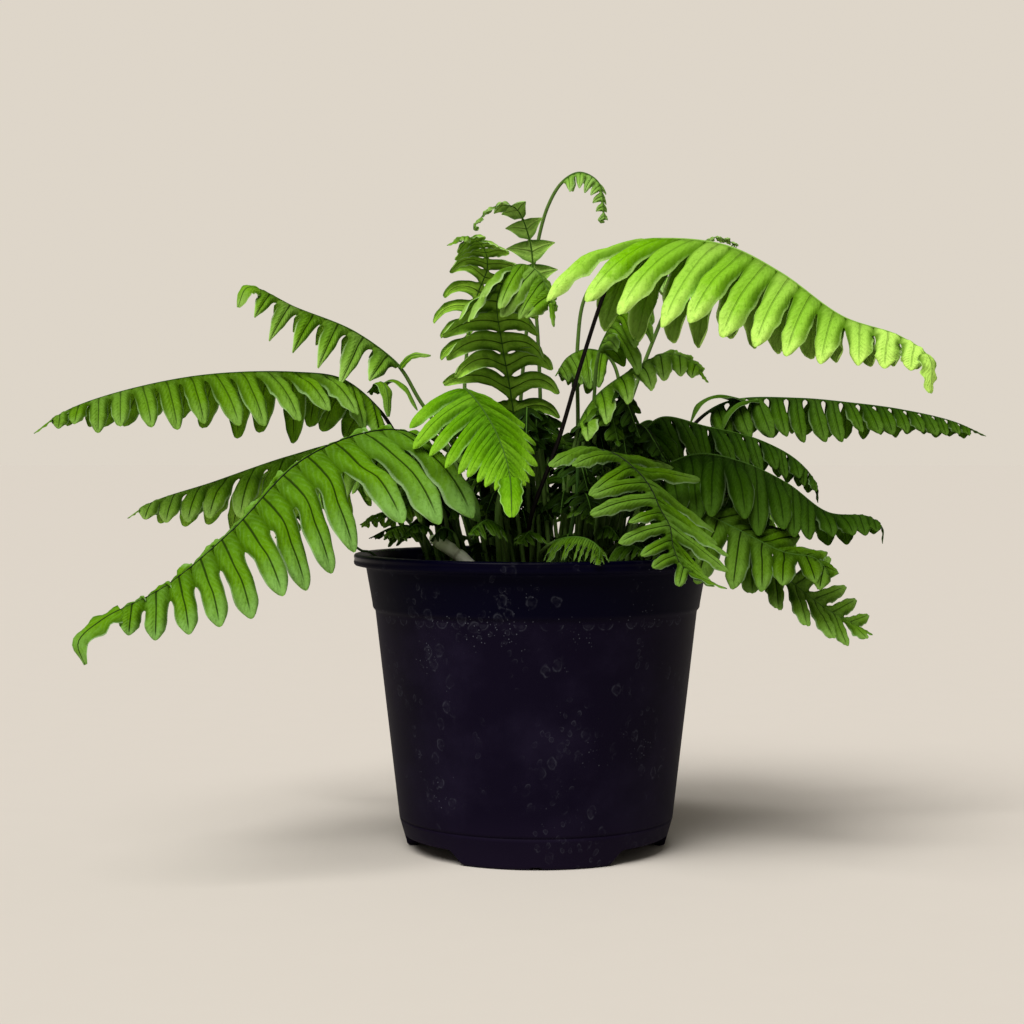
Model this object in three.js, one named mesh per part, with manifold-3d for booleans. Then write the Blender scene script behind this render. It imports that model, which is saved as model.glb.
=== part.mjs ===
// A potted polypody fern: a round black nursery pot, its potting mix, creeping rhizomes and the fronds.
// Millimetres, +Z up. The origin is on the pot's axis, on the surface that the pot stands on.
// -Y is the front, +X is the right-hand side.
import * as THREE from 'three';
import { mergeVertices } from 'three/addons/utils/BufferGeometryUtils.js';
import Module from 'manifold-3d';

const wasm = await Module();
wasm.setup();

// ---------------------------------------------------------------- driving dimensions, mm
const POT_HEIGHT = 137;
const LIP_RADIUS = 85; // outside of the rolled lip
const LIP_DEPTH = 5; // height of the lip's outer face
const BAND_TOP_RADIUS = 79.4; // the wide band under the lip
const BAND_FOOT_RADIUS = 76.3;
const BAND_FOOT_HEIGHT = 112.5;
const WALL_TOP_RADIUS = 73.6; // the plain tapering wall
const WALL_TOP_HEIGHT = 110;
const SKIRT_TOP_RADIUS = 62.6; // the short skirt below the lower line
const SKIRT_TOP_HEIGHT = 14.5;
const FOOT_RADIUS = 58.6; // flat ring that the pot stands on, outside edge
const FOOT_ROUND = 2.4; // height of the rounded corner at the foot
const WALL = 1.8; // moulded wall thickness
const FLOOR_UNDERSIDE = 7.2; // the floor is raised inside the skirt
const FLOOR_THICKNESS = 2;
const POT_SIDES = 44;

const FEET = 3; // the skirt is cut away between three feet
const ARCH_FOOT_HALF_WIDTH = 28;
const ARCH_TOP_HALF_WIDTH = 20.5;
const ARCH_HEIGHT = 6.8;
const NICK_HALF_WIDTH = 3.4; // small nick in the middle of each foot
const NICK_HEIGHT = 1.4;
const DRAIN_HOLES = 6;
const DRAIN_HOLE_RADIUS = 4.5;
const DRAIN_CIRCLE_RADIUS = 40;

const GAP = 0.35; // clearance between touching pieces
const SOIL_EDGE_HEIGHT = 121;
const SOIL_CROWN_HEIGHT = 125; // the mix is heaped a little towards the middle
const SOIL_SIDES = 26;
const SOIL_RINGS = [66, 50, 34, 17];
const SOIL_LUMP = 1.1; // height of the lumps
const HOLE_DEPTH = 9;
const HOLE_SIDES = 6;

const BLADE_HALF_THICKNESS = 0.36;
const STALK_RADIUS = 1.25; // at the soil
const NECK_RADIUS = 1.0; // where the first lobes stand
const RIB_TIP_RADIUS = 0.5;
const STALK_STEPS = 4;
const LOBE_RISE = 1.1; // how fast the lobes lengthen above the neck
const LOBE_FALL = 0.8; // share of their length that they have lost at the tip
const SINUS_SHARE = 0.16; // lobes are joined to each other over this share of their length
const LOBE_WIDTH_SHARE = 0.74; // width of a lobe near its tip, as a share of the room it has

// ---------------------------------------------------------------- fronds
// root: where the stalk leaves the mix, x and y. path: points that the midrib goes through, by hand.
// neck: number of the path point where the first lobes stand. pairs: lobes on each side.
// lobe: longest lobe. base: share of it that the first lobes have. taper: how late they grow short again.
// sweep: lean of the lobes towards the tip, at the neck and at the tip, degrees.
// droop: their first fall below the blade's plane, at the neck and beyond the first third, degrees.
// sag: how much their own weight bends them. roll: turn of the blade about its midrib, at the neck and
// at the tip, degrees. end: share of the blade that the end lobe takes. pointed: lobes are triangles.
// green: which of the leaf colours it has.
const LEAF_GREENS = { fresh: 0x86cf22, mid: 0x4c8f17, deep: 0x2c5c10, young: 0x5a8c38 };
const USUAL = { base: 0.72, taper: 1.7, roll: [0, 0], end: 0.08, pointed: false, green: 'mid' };
const FRONDS = [
  { name: 'frond_upper_left', root: [-25, 6], neck: 3, pairs: 8, lobe: 24, base: 0.55, taper: 2.6,
    sweep: [0, 40], droop: [20, 36], sag: 0.7, end: 0.17, path: [[-36, 6, 174], [-46, 6, 195],
    [-55, 4, 209], [-64, 0, 224], [-83, -14, 239], [-108, -31, 249], [-128, -45, 257],
    [-132, -48, 248]] },
  { name: 'frond_left_long', root: [-31, -5], neck: 2, pairs: 17, lobe: 32, base: 0.38, sweep: [-10, 14],
    droop: [20, 40], sag: 0.9, end: 0.06, path: [[-48, -7, 165], [-63, -9, 189], [-72, -12, 203],
    [-88, -20, 217], [-109, -29, 220], [-150, -43, 218], [-188, -56, 209], [-207, -62, 201],
    [-219, -64, 192]] },
  { name: 'frond_left_back', root: [-37, 5], neck: 2, pairs: 12, lobe: 32, sweep: [0, 18],
    droop: [40, 46], sag: 0.9, end: 0.06, path: [[-47, 7, 158], [-54, 8, 175], [-63, 7, 185],
    [-86, 3, 189], [-115, -5, 182], [-149, -17, 170], [-175, -27, 161], [-185, -31, 154]] },
  { name: 'frond_left_front', root: [-24, -18], neck: 1, pairs: 12, lobe: 62, base: 0.42, taper: 1.5,
    sweep: [6, 20], droop: [34, 42], sag: 0.6, roll: [-24, -14], end: 0.15, path: [[-36, -22, 164],
    [-46, -27, 184], [-58, -37, 193], [-77, -52, 192], [-103, -72, 179], [-128, -93, 151],
    [-154, -109, 128], [-178, -118, 115], [-187, -121, 106], [-184, -122, 97]] },
  { name: 'frond_front_centre', green: 'fresh', root: [-14, -23], neck: 2, pairs: 11, lobe: 37,
    sweep: [18, 36], droop: [14, 14], sag: 0.6, path: [[-27, -22, 165], [-38, -30, 199], [-33, -40, 212],
    [-25, -58, 205], [-16, -82, 190], [-11, -100, 174], [-10, -110, 157]] },
  { name: 'frond_mid_upright', root: [-9, 4], neck: 1, pairs: 13, lobe: 29, sweep: [0, 20], droop: [0, 0],
    sag: 0.9, path: [[-9, 7, 160], [-9, 8, 185], [-12, 4, 212], [-16, 0, 235], [-18, -6, 255],
    [-10, -18, 269], [-1, -27, 267], [6, -34, 255], [8, -36, 240]] },
  { name: 'frond_left_upright', root: [-23, 18], neck: 2, pairs: 9, lobe: 24, sweep: [6, 20],
    droop: [0, 0], sag: 0.6, path: [[-32, 18, 180], [-34, 18, 209], [-33, 18, 231], [-31, 17, 256],
    [-25, 11, 273], [-27, 1, 281], [-35, -9, 280], [-41, -12, 276]] },
  { name: 'frond_young_left', green: 'young', root: [-2, 25], neck: 2, pairs: 9, lobe: 18, taper: 0.9,
    base: 0.9, sweep: [8, 30], droop: [4, 4], sag: 0.2, roll: [58, 10], pointed: true,
    path: [[2, 26, 190], [1, 28, 236], [-1, 28, 262], [-5, 26, 284], [-13, 19, 299], [-22, 11, 298],
    [-29, 5, 290]] },
  { name: 'frond_young_curl', green: 'young', root: [-10, 36], neck: 3, pairs: 11, lobe: 10,
    sweep: [-6, 20], droop: [20, 20], sag: 0.4, pointed: true, path: [[-8, 40, 200], [-5, 43, 240],
    [0, 43, 282], [6, 40, 304], [13, 38, 315], [21, 36, 319], [29, 34, 313], [32, 33, 295]] },
  { name: 'frond_right_high', green: 'fresh', root: [-4, -14], neck: 5, pairs: 13, lobe: 66, base: 0.95,
    taper: 1, sweep: [-8, 26], droop: [8, 34], sag: 0.6, roll: [-6, 0], end: 0.1, path: [[-3, -22, 151],
    [10, -31, 189], [20, -37, 223], [29, -43, 251], [35, -48, 266], [43, -55, 275], [57, -66, 276],
    [81, -84, 271], [102, -100, 258], [125, -116, 239], [146, -130, 230], [156, -137, 221],
    [156, -140, 207]] },
  { name: 'frond_back_curl', green: 'young', root: [25, 14], neck: 3, pairs: 9, lobe: 11, sweep: [10, 20],
    droop: [0, 0], sag: 0.1, pointed: true, path: [[36, 15, 180], [48, 20, 217], [60, 21, 248],
    [68, 22, 268], [76, 22, 281], [85, 20, 286], [94, 18, 283]] },
  { name: 'frond_back_arch', green: 'young', root: [15, 27], neck: 3, pairs: 9, lobe: 20, sweep: [8, 20],
    droop: [25, 25], sag: 0.5, path: [[20, 31, 190], [20, 31, 236], [23, 28, 257], [30, 24, 268],
    [40, 18, 272], [55, 14, 270], [67, 9, 262], [72, 6, 248]] },
  { name: 'frond_right_upright', green: 'deep', root: [19, 3], neck: 2, pairs: 8, lobe: 30, taper: 2.4,
    sweep: [6, 14], droop: [4, 4], sag: 0.7, path: [[26, 0, 180], [27, -4, 210], [29, -10, 230],
    [37, -18, 246], [47, -26, 255], [56, -34, 258]] },
  { name: 'frond_right_arch', green: 'deep', root: [9, -12], neck: 1, pairs: 9, lobe: 24, sweep: [4, 16],
    droop: [26, 26], sag: 0.6, path: [[16, -18, 176], [20, -22, 197], [28, -26, 210], [45, -31, 222],
    [58, -34, 228], [69, -36, 225], [77, -38, 215]] },
  { name: 'frond_mid_dark', green: 'deep', root: [31, 19], neck: 2, pairs: 7, lobe: 20, sweep: [4, 16],
    droop: [36, 36], sag: 0.7, path: [[35, 21, 185], [40, 23, 214], [35, 22, 229], [25, 20, 233],
    [15, 17, 229], [9, 15, 220]] },
  { name: 'frond_right_long', green: 'deep', root: [35, 12], neck: 3, pairs: 17, lobe: 30, base: 0.6,
    sweep: [8, 20], droop: [20, 42], sag: 0.9, end: 0.06, path: [[48, 15, 156], [60, 18, 175],
    [70, 21, 191], [82, 25, 203], [95, 28, 209], [127, 35, 210], [153, 41, 208], [178, 47, 205],
    [206, 54, 199], [222, 56, 192]] },
  { name: 'frond_right_second', green: 'deep', root: [28, -5], neck: 1, pairs: 13, lobe: 31,
    sweep: [10, 20], droop: [40, 40], sag: 0.9, path: [[42, -4, 170], [48, -4, 190], [58, 0, 200],
    [80, 7, 196], [105, 13, 190], [124, 17, 180], [133, 18, 169], [134, 18, 160]] },
  { name: 'frond_right_third', green: 'deep', root: [33, -12], neck: 1, pairs: 12, lobe: 35, base: 0.5,
    sweep: [4, 18], droop: [36, 44], sag: 0.9, path: [[46, -12, 156], [56, -14, 175], [73, -19, 183],
    [92, -25, 180], [113, -31, 170], [131, -35, 157], [149, -37, 155], [155, -38, 150],
    [155, -38, 143]] },
  { name: 'frond_right_low_front', root: [12, -27], neck: 1, pairs: 10, lobe: 44, taper: 1.8,
    sweep: [4, 40], droop: [14, 14], sag: 0.25, roll: [-8, -4], end: 0.16, path: [[18, -32, 160],
    [26, -39, 180], [37, -50, 181], [47, -62, 172], [52, -76, 160], [57, -90, 150], [60, -105, 139],
    [69, -113, 132], [78, -117, 128]] },
  { name: 'frond_right_low_mid', root: [24, -22], neck: 1, pairs: 10, lobe: 31, base: 0.6,
    sweep: [12, 40], droop: [18, 18], sag: 0.3, roll: [20, 22], path: [[38, -22, 143], [51, -25, 153],
    [68, -29, 159], [87, -37, 151], [109, -51, 140], [123, -57, 137], [128, -59, 129], [123, -59, 124]] },
  { name: 'frond_right_low_end', green: 'deep', root: [40, -6], neck: 3, pairs: 9, lobe: 28, base: 0.8,
    taper: 2.2, sweep: [14, 36], droop: [6, 6], sag: 0.2, roll: [30, 48], end: 0.1, path: [[50, -8, 139],
    [63, -11, 149], [78, -15, 149], [93, -19, 141], [112, -25, 128], [130, -31, 114], [151, -37, 102]] },
  { name: 'frond_rim_feather', green: 'deep', root: [4, -40], neck: 1, pairs: 7, lobe: 14,
    sweep: [10, 30], droop: [30, 30], sag: 0.5, pointed: true, path: [[6, -50, 137], [10, -60, 146],
    [17, -71, 148], [23, -83, 145], [26, -91, 137]] },
  { name: 'frond_back_left_low', root: [-36, 17], neck: 2, pairs: 11, lobe: 32, sweep: [4, 20],
    droop: [30, 30], sag: 0.7, path: [[-48, 28, 160], [-62, 39, 177], [-78, 51, 183], [-98, 64, 178],
    [-120, 79, 162], [-134, 91, 140]] },
  { name: 'frond_back_left', root: [-22, 32], neck: 2, pairs: 12, lobe: 34, sweep: [4, 20],
    droop: [30, 30], sag: 0.7, path: [[-28, 45, 170], [-35, 60, 191], [-44, 80, 201], [-56, 103, 197],
    [-69, 126, 178], [-77, 142, 150]] },
  { name: 'frond_back_centre', root: [-2, 44], neck: 2, pairs: 12, lobe: 32, sweep: [4, 20],
    droop: [30, 30], sag: 0.7, path: [[-3, 55, 172], [-5, 66, 192], [-7, 81, 201], [-9, 102, 199],
    [-11, 126, 182], [-12, 143, 154]] },
  { name: 'frond_back_right', root: [20, 44], neck: 2, pairs: 12, lobe: 33, sweep: [4, 20],
    droop: [30, 30], sag: 0.7, path: [[24, 57, 168], [30, 71, 189], [38, 89, 197], [48, 110, 193],
    [59, 130, 174], [67, 143, 147]] },
  { name: 'frond_back_right_low', root: [38, 30], neck: 2, pairs: 11, lobe: 30, sweep: [4, 20],
    droop: [30, 30], sag: 0.7, path: [[50, 44, 160], [64, 60, 177], [80, 76, 181], [100, 92, 174],
    [119, 107, 155], [131, 118, 130]] },
  { name: 'sprout_left', root: [-38, -15], neck: 1, pairs: 5, lobe: 17, sweep: [8, 26], droop: [24, 24],
    sag: 0.5, path: [[-40, -17, 145], [-44, -22, 160], [-54, -29, 162], [-64, -36, 154]] },
  { name: 'sprout_left_low', root: [-47, -4], neck: 1, pairs: 5, lobe: 14, sweep: [8, 26],
    droop: [24, 24], sag: 0.5, path: [[-50, -7, 138], [-55, -13, 147], [-62, -20, 150],
    [-69, -27, 146]] },
  { name: 'sprout_front_left', root: [-12, -38], neck: 1, pairs: 5, lobe: 14, sweep: [8, 26],
    droop: [24, 24], sag: 0.5, path: [[-13, -43, 138], [-16, -50, 150], [-22, -59, 154],
    [-29, -67, 148]] },
  { name: 'sprout_front', root: [-3, -31], neck: 1, pairs: 5, lobe: 12, sweep: [8, 26], droop: [24, 24],
    sag: 0.5, path: [[-2, -37, 135], [-1, -46, 146], [-3, -56, 149], [-7, -64, 144]] },
  { name: 'sprout_mid_right', root: [30, -36], neck: 1, pairs: 5, lobe: 14, sweep: [8, 26],
    droop: [24, 24], sag: 0.5, path: [[32, -42, 133], [36, -50, 141], [42, -58, 143], [48, -66, 140]] },
  { name: 'sprout_right', root: [46, -20], neck: 1, pairs: 5, lobe: 13, sweep: [8, 26], droop: [20, 20],
    sag: 0.4, path: [[49, -24, 132], [55, -31, 141], [62, -38, 143], [69, -45, 141]] },
  { name: 'sprout_back_right', root: [50, 10], neck: 1, pairs: 5, lobe: 16, sweep: [8, 26],
    droop: [20, 20], sag: 0.4, path: [[55, 13, 142], [63, 18, 154], [74, 24, 156], [85, 30, 150]] },
  { name: 'sprout_back', root: [6, 56], neck: 1, pairs: 5, lobe: 16, sweep: [8, 26], droop: [20, 20],
    sag: 0.4, path: [[7, 61, 142], [9, 69, 154], [12, 80, 156], [15, 91, 150]] },
  { name: 'sprout_back_left', root: [-50, 12], neck: 1, pairs: 5, lobe: 16, sweep: [8, 26],
    droop: [20, 20], sag: 0.4, path: [[-55, 15, 142], [-63, 20, 153], [-74, 25, 155], [-85, 30, 149]] },
].map((own) => ({ ...USUAL, ...own }));

// Creeping rhizomes, pale and as thick as a pencil lead's casing; each lifts its blunt growing end.
const RHIZOME_RADIUS = 2.9;
const RHIZOME_SIDES = 8;
const RHIZOMES = [
  { name: 'rhizome_front_left', path: [[-16, -42, 121], [-24, -37, 127], [-34, -34, 137], [-48, -34, 146]] },
  { name: 'rhizome_right', path: [[40, -34, 121], [47, -30, 124], [56, -24, 126.5], [62, -14, 127]] },
  { name: 'rhizome_back', path: [[-30, 44, 121], [-22, 50, 124.5], [-12, 56, 126.5], [-2, 62, 127]] },
];

// ---------------------------------------------------------------- solids from meshes and back
function toManifold(geometry) {
  const bare = geometry.clone();
  bare.deleteAttribute('normal');
  bare.deleteAttribute('uv');
  const merged = mergeVertices(bare, 1e-4);
  return new wasm.Manifold(new wasm.Mesh({
    numProp: 3,
    vertProperties: Float32Array.from(merged.attributes.position.array),
    triVerts: Uint32Array.from(merged.index.array),
  }));
}

function toGeometry(manifold) {
  const mesh = manifold.getMesh();
  const geometry = new THREE.BufferGeometry();
  geometry.setAttribute('position', new THREE.BufferAttribute(Float32Array.from(mesh.vertProperties), 3));
  geometry.setIndex(new THREE.BufferAttribute(Uint32Array.from(mesh.triVerts), 1));
  return geometry;
}

// A body turned about Z from a closed outline of [radius, height] points, anticlockwise.
function turned(outline, sides) {
  const points = outline.map(([radius, height]) => new THREE.Vector2(radius, height));
  const closed = outline[0][0] > 0 ? [...points, points[0]] : points;
  return new THREE.LatheGeometry(closed, sides).rotateX(Math.PI / 2);
}

// ---------------------------------------------------------------- a closed skin built ring by ring
class Skin {
  constructor() {
    this.positions = [];
    this.faces = [];
  }

  ring(points) {
    return points.map((point) => this.positions.push(point.x, point.y, point.z) / 3 - 1);
  }

  quad(a, b, c, d) {
    this.faces.push(a, b, c, a, c, d);
  }

  // The side faces between two rings of equal length.
  bridge(from, to, skipped = []) {
    from.forEach((start, i) => {
      const next = (i + 1) % from.length;
      if (!skipped.includes(i)) this.quad(start, from[next], to[next], to[i]);
    });
  }

  // Closes a ring of four with an edge of two points.
  wedge([a, b, c, d], [p, q]) {
    this.quad(a, b, q, p);
    this.faces.push(b, c, q);
    this.quad(c, d, p, q);
    this.faces.push(d, a, p);
  }

  cap(ring) {
    for (let i = 1; i < ring.length - 1; i += 1) this.faces.push(ring[0], ring[i + 1], ring[i]);
  }

  geometry() {
    const geometry = new THREE.BufferGeometry();
    geometry.setAttribute('position', new THREE.Float32BufferAttribute(this.positions, 3));
    geometry.setIndex(this.faces);
    return geometry;
  }
}

// ---------------------------------------------------------------- frond
const UP = new THREE.Vector3(0, 0, 1);
const radians = THREE.MathUtils.degToRad;
const mix = THREE.MathUtils.lerp;
const along = (point, ...steps) => steps.reduce((sum, [way, length]) => sum.addScaledVector(way, length),
  point.clone());

// The midrib: straight up out of its hole in the mix, then through the points of the path.
function midribCurve({ root: [x, y], path }) {
  const ground = soilHeight(x, y);
  const points = [[x, y, ground - HOLE_DEPTH + GAP], [x, y, ground + 3], ...path];
  const curve = new THREE.CatmullRomCurve3(points.map((point) => new THREE.Vector3(...point)),
    false, 'centripetal');
  curve.arcLengthDivisions = 400;
  return curve;
}

// Share of the midrib's length at which it passes the numbered point of the path.
function shareAt(curve, number) {
  const lengths = curve.getLengths();
  const step = (number + 2) / (curve.points.length - 1);
  return lengths[Math.round(step * (lengths.length - 1))] / lengths[lengths.length - 1];
}

// Tangent, side and face of the blade at a share of the midrib's length.
function bladeFrame(curve, share, neck, side, roll) {
  const grown = THREE.MathUtils.clamp((share - neck) / (1 - neck), 0, 1);
  const tangent = curve.getTangentAt(share);
  const across = side.clone().addScaledVector(tangent, -side.dot(tangent)).normalize();
  across.applyAxisAngle(tangent, radians(mix(roll[0], roll[1], grown)));
  return { centre: curve.getPointAt(share), tangent, across, face: across.clone().cross(tangent), grown };
}

// Lobes lengthen above the neck and dwindle to the tip.
function lobeLength({ lobe, base, taper }, share) {
  return lobe * Math.min(1, base + LOBE_RISE * share) * (1 - LOBE_FALL * share ** taper);
}

// Stations are closer together towards the tip.
const stationShare = (step) => step * (1.25 - 0.25 * step);

// The way that a lobe leaves the midrib: across it, swept to the tip and drooping.
function lobeWay(frame, hand, { sweep, droop }) {
  const lean = radians(mix(sweep[0], sweep[1], frame.grown));
  const fall = radians(mix(droop[0], droop[1], Math.min(1, frame.grown * 3)));
  const flat = frame.across.clone().multiplyScalar(hand * Math.cos(lean))
    .addScaledVector(frame.tangent, Math.sin(lean));
  return flat.multiplyScalar(Math.cos(fall)).addScaledVector(frame.face, -Math.sin(fall));
}

const sagged = (way, sag) => way.clone().addScaledVector(UP, -sag).normalize();

function hexagonRing(frame, radius) {
  return [90, 30, -30, -90, -150, 150].map((angle) => along(frame.centre,
    [frame.across, radius * Math.cos(radians(angle))], [frame.face, radius * Math.sin(radians(angle))]));
}

// The blade's section at a station: midrib above and below, and the joined foot of the lobes each side.
function bladeRing(frame, rib, wing, spec) {
  const edge = (hand, lift) => along(frame.centre, [lobeWay(frame, hand, spec), wing], [frame.face, lift]);
  const half = BLADE_HALF_THICKNESS;
  return [along(frame.centre, [frame.face, rib]), edge(1, half), edge(1, -half),
    along(frame.centre, [frame.face, -rib]), edge(-1, -half), edge(-1, half)];
}

function addLobe(skin, base, frame, hand, length, halfWidth, spec, wholeLobe) {
  const way = lobeWay(frame, hand, spec);
  const middleWay = sagged(way, spec.sag * 0.5);
  const tipWay = sagged(way, spec.sag * 1.6);
  const faceOf = (direction) => {
    const width = frame.tangent.clone().addScaledVector(direction, -frame.tangent.dot(direction)).normalize();
    return { width, face: direction.clone().cross(width).multiplyScalar(hand) };
  };
  const middle = along(frame.centre, [middleWay, length * 0.7]);
  const tip = along(middle, [tipWay, length * 0.3]);
  const half = BLADE_HALF_THICKNESS;
  const top = faceOf(tipWay).face;
  const ends = skin.ring([along(tip, [top, hand * half]), along(tip, [top, -hand * half])]);
  if (!wholeLobe) {
    skin.wedge(base, ends);
    return;
  }
  const { width, face } = faceOf(middleWay);
  const corner = (forward, lift) => along(middle, [width, forward * halfWidth], [face, lift * hand * half]);
  const ring = skin.ring([corner(-1, 1), corner(-1, -1), corner(1, -1), corner(1, 1)]);
  skin.bridge(base, ring);
  skin.wedge(ring, ends);
}

function frondGeometry(spec) {
  const curve = midribCurve(spec);
  const skin = new Skin();
  const heading = new THREE.Vector3().subVectors(curve.getPoint(1), curve.getPoint(0)).setZ(0).normalize();
  const side = heading.clone().cross(UP);
  const neck = shareAt(curve, spec.neck);
  const frameAt = (share) => bladeFrame(curve, share, neck, side, spec.roll);

  const ground = shareAt(curve, -1);
  let last = skin.ring(hexagonRing(frameAt(0), STALK_RADIUS));
  skin.cap(last);
  for (let i = 0; i < STALK_STEPS; i += 1) {
    const step = i / STALK_STEPS;
    const frame = frameAt(mix(ground, neck, step));
    const ring = skin.ring(hexagonRing(frame, mix(STALK_RADIUS, NECK_RADIUS, step)));
    skin.bridge(last, ring);
    last = ring;
  }

  const bladeEnd = mix(neck, 1, 1 - spec.end);
  const length = curve.getLength() * (bladeEnd - neck);
  const stations = [];
  for (let i = 0; i <= spec.pairs; i += 1) {
    const share = stationShare(i / spec.pairs);
    const rib = mix(NECK_RADIUS, RIB_TIP_RADIUS, share);
    const wing = Math.max(rib + 0.3, (i ? SINUS_SHARE : 0) * lobeLength(spec, share));
    const section = bladeRing(frameAt(mix(neck, bladeEnd, share)), rib, wing, spec);
    stations.push({ share, ring: skin.ring(section) });
  }
  skin.bridge(last, stations[0].ring);
  for (let i = 0; i < spec.pairs; i += 1) {
    const [from, to] = [stations[i].ring, stations[i + 1].ring];
    const share = (stations[i].share + stations[i + 1].share) / 2;
    const frame = frameAt(mix(neck, bladeEnd, share));
    const halfWidth = length * (stations[i + 1].share - stations[i].share) * LOBE_WIDTH_SHARE / 2;
    const reach = lobeLength(spec, share);
    const whole = share < 0.8 && !spec.pointed;
    skin.bridge(from, to, [1, 4]);
    addLobe(skin, [from[1], from[2], to[2], to[1]], frame, 1, reach, halfWidth, spec, whole);
    addLobe(skin, [from[4], from[5], to[5], to[4]], frame, -1, reach, halfWidth, spec, whole);
  }

  const shoulder = skin.ring(bladeRing(frameAt(mix(bladeEnd, 1, 0.45)), RIB_TIP_RADIUS,
    Math.max(0.8, 0.13 * curve.getLength() * (1 - bladeEnd)), spec));
  skin.bridge(stations[spec.pairs].ring, shoulder);
  const [top, rightTop, rightFoot, foot, leftFoot, leftTop] = shoulder;
  const end = frameAt(1);
  const [tipTop, tipFoot] = skin.ring([along(end.centre, [end.face, BLADE_HALF_THICKNESS]),
    along(end.centre, [end.face, -BLADE_HALF_THICKNESS])]);
  skin.faces.push(top, rightTop, tipTop, rightFoot, foot, tipFoot);
  skin.faces.push(foot, leftFoot, tipFoot, leftTop, top, tipTop);
  skin.quad(rightTop, rightFoot, tipFoot, tipTop);
  skin.quad(leftFoot, leftTop, tipTop, tipFoot);
  return skin.geometry();
}

// ---------------------------------------------------------------- rhizome
function rhizomeGeometry({ path }, extra = 0) {
  const points = path.map((point) => new THREE.Vector3(...point));
  const start = points[0].clone().sub(points[1]).setLength(extra + 1e-3).add(points[0]);
  const curve = new THREE.CatmullRomCurve3([start, ...points.slice(1)], false, 'centripetal');
  const skin = new Skin();
  const widths = [0.85, 1, 0.94, 1.05, 0.98, 1.04, 1, 0.8, 0.42];
  let last = null;
  widths.forEach((width, i) => {
    const share = [0, 0.14, 0.3, 0.46, 0.62, 0.78, 0.9, 0.97, 1][i];
    const tangent = curve.getTangentAt(share);
    const across = tangent.clone().cross(UP).normalize();
    const face = across.clone().cross(tangent);
    const section = [];
    for (let k = 0; k < RHIZOME_SIDES; k += 1) {
      const angle = Math.PI / 2 - (k / RHIZOME_SIDES) * 2 * Math.PI;
      const radius = RHIZOME_RADIUS * width + extra;
      section.push(along(curve.getPointAt(share), [across, radius * Math.cos(angle)],
        [face, radius * Math.sin(angle)]));
    }
    const ring = skin.ring(section);
    if (last) skin.bridge(last, ring);
    else skin.cap(ring);
    last = ring;
  });
  skin.cap([...last].reverse());
  return skin.geometry();
}

// ---------------------------------------------------------------- pot
function innerRadius(height) {
  const floor = FLOOR_UNDERSIDE + FLOOR_THICKNESS;
  const low = SKIRT_TOP_RADIUS - WALL;
  if (height <= WALL_TOP_HEIGHT) {
    return mix(low, WALL_TOP_RADIUS - WALL, (height - floor) / (WALL_TOP_HEIGHT - floor));
  }
  return mix(BAND_FOOT_RADIUS - WALL, BAND_TOP_RADIUS - WALL,
    Math.max(0, height - BAND_FOOT_HEIGHT) / (POT_HEIGHT - BAND_FOOT_HEIGHT));
}

function potOutline() {
  const floor = FLOOR_UNDERSIDE + FLOOR_THICKNESS;
  return [
    [0, FLOOR_UNDERSIDE],
    [FOOT_RADIUS - WALL - 0.8, FLOOR_UNDERSIDE],
    [FOOT_RADIUS - WALL - 1.2, 0],
    [FOOT_RADIUS, 0],
    [FOOT_RADIUS + 1.9, FOOT_ROUND],
    [SKIRT_TOP_RADIUS, SKIRT_TOP_HEIGHT],
    [WALL_TOP_RADIUS, WALL_TOP_HEIGHT],
    [BAND_FOOT_RADIUS, BAND_FOOT_HEIGHT],
    [BAND_TOP_RADIUS, POT_HEIGHT - LIP_DEPTH - 1],
    [LIP_RADIUS - 0.8, POT_HEIGHT - LIP_DEPTH],
    [LIP_RADIUS, POT_HEIGHT - 1],
    [LIP_RADIUS - 1, POT_HEIGHT],
    [BAND_TOP_RADIUS - WALL, POT_HEIGHT],
    [innerRadius(BAND_FOOT_HEIGHT), BAND_FOOT_HEIGHT],
    [innerRadius(WALL_TOP_HEIGHT), WALL_TOP_HEIGHT],
    [innerRadius(floor), floor],
    [0, floor],
  ];
}

// A block with the given side view, running outward along +X and turned about Z to its place.
function cutter(sideView, from, to, turn) {
  const shape = new THREE.Shape(sideView.map(([x, z]) => new THREE.Vector2(x, z)));
  const block = new THREE.ExtrudeGeometry(shape, { depth: to - from, bevelEnabled: false });
  block.rotateX(Math.PI / 2).rotateZ(Math.PI / 2).translate(from, 0, 0);
  return toManifold(block.rotateZ(turn));
}

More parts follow.
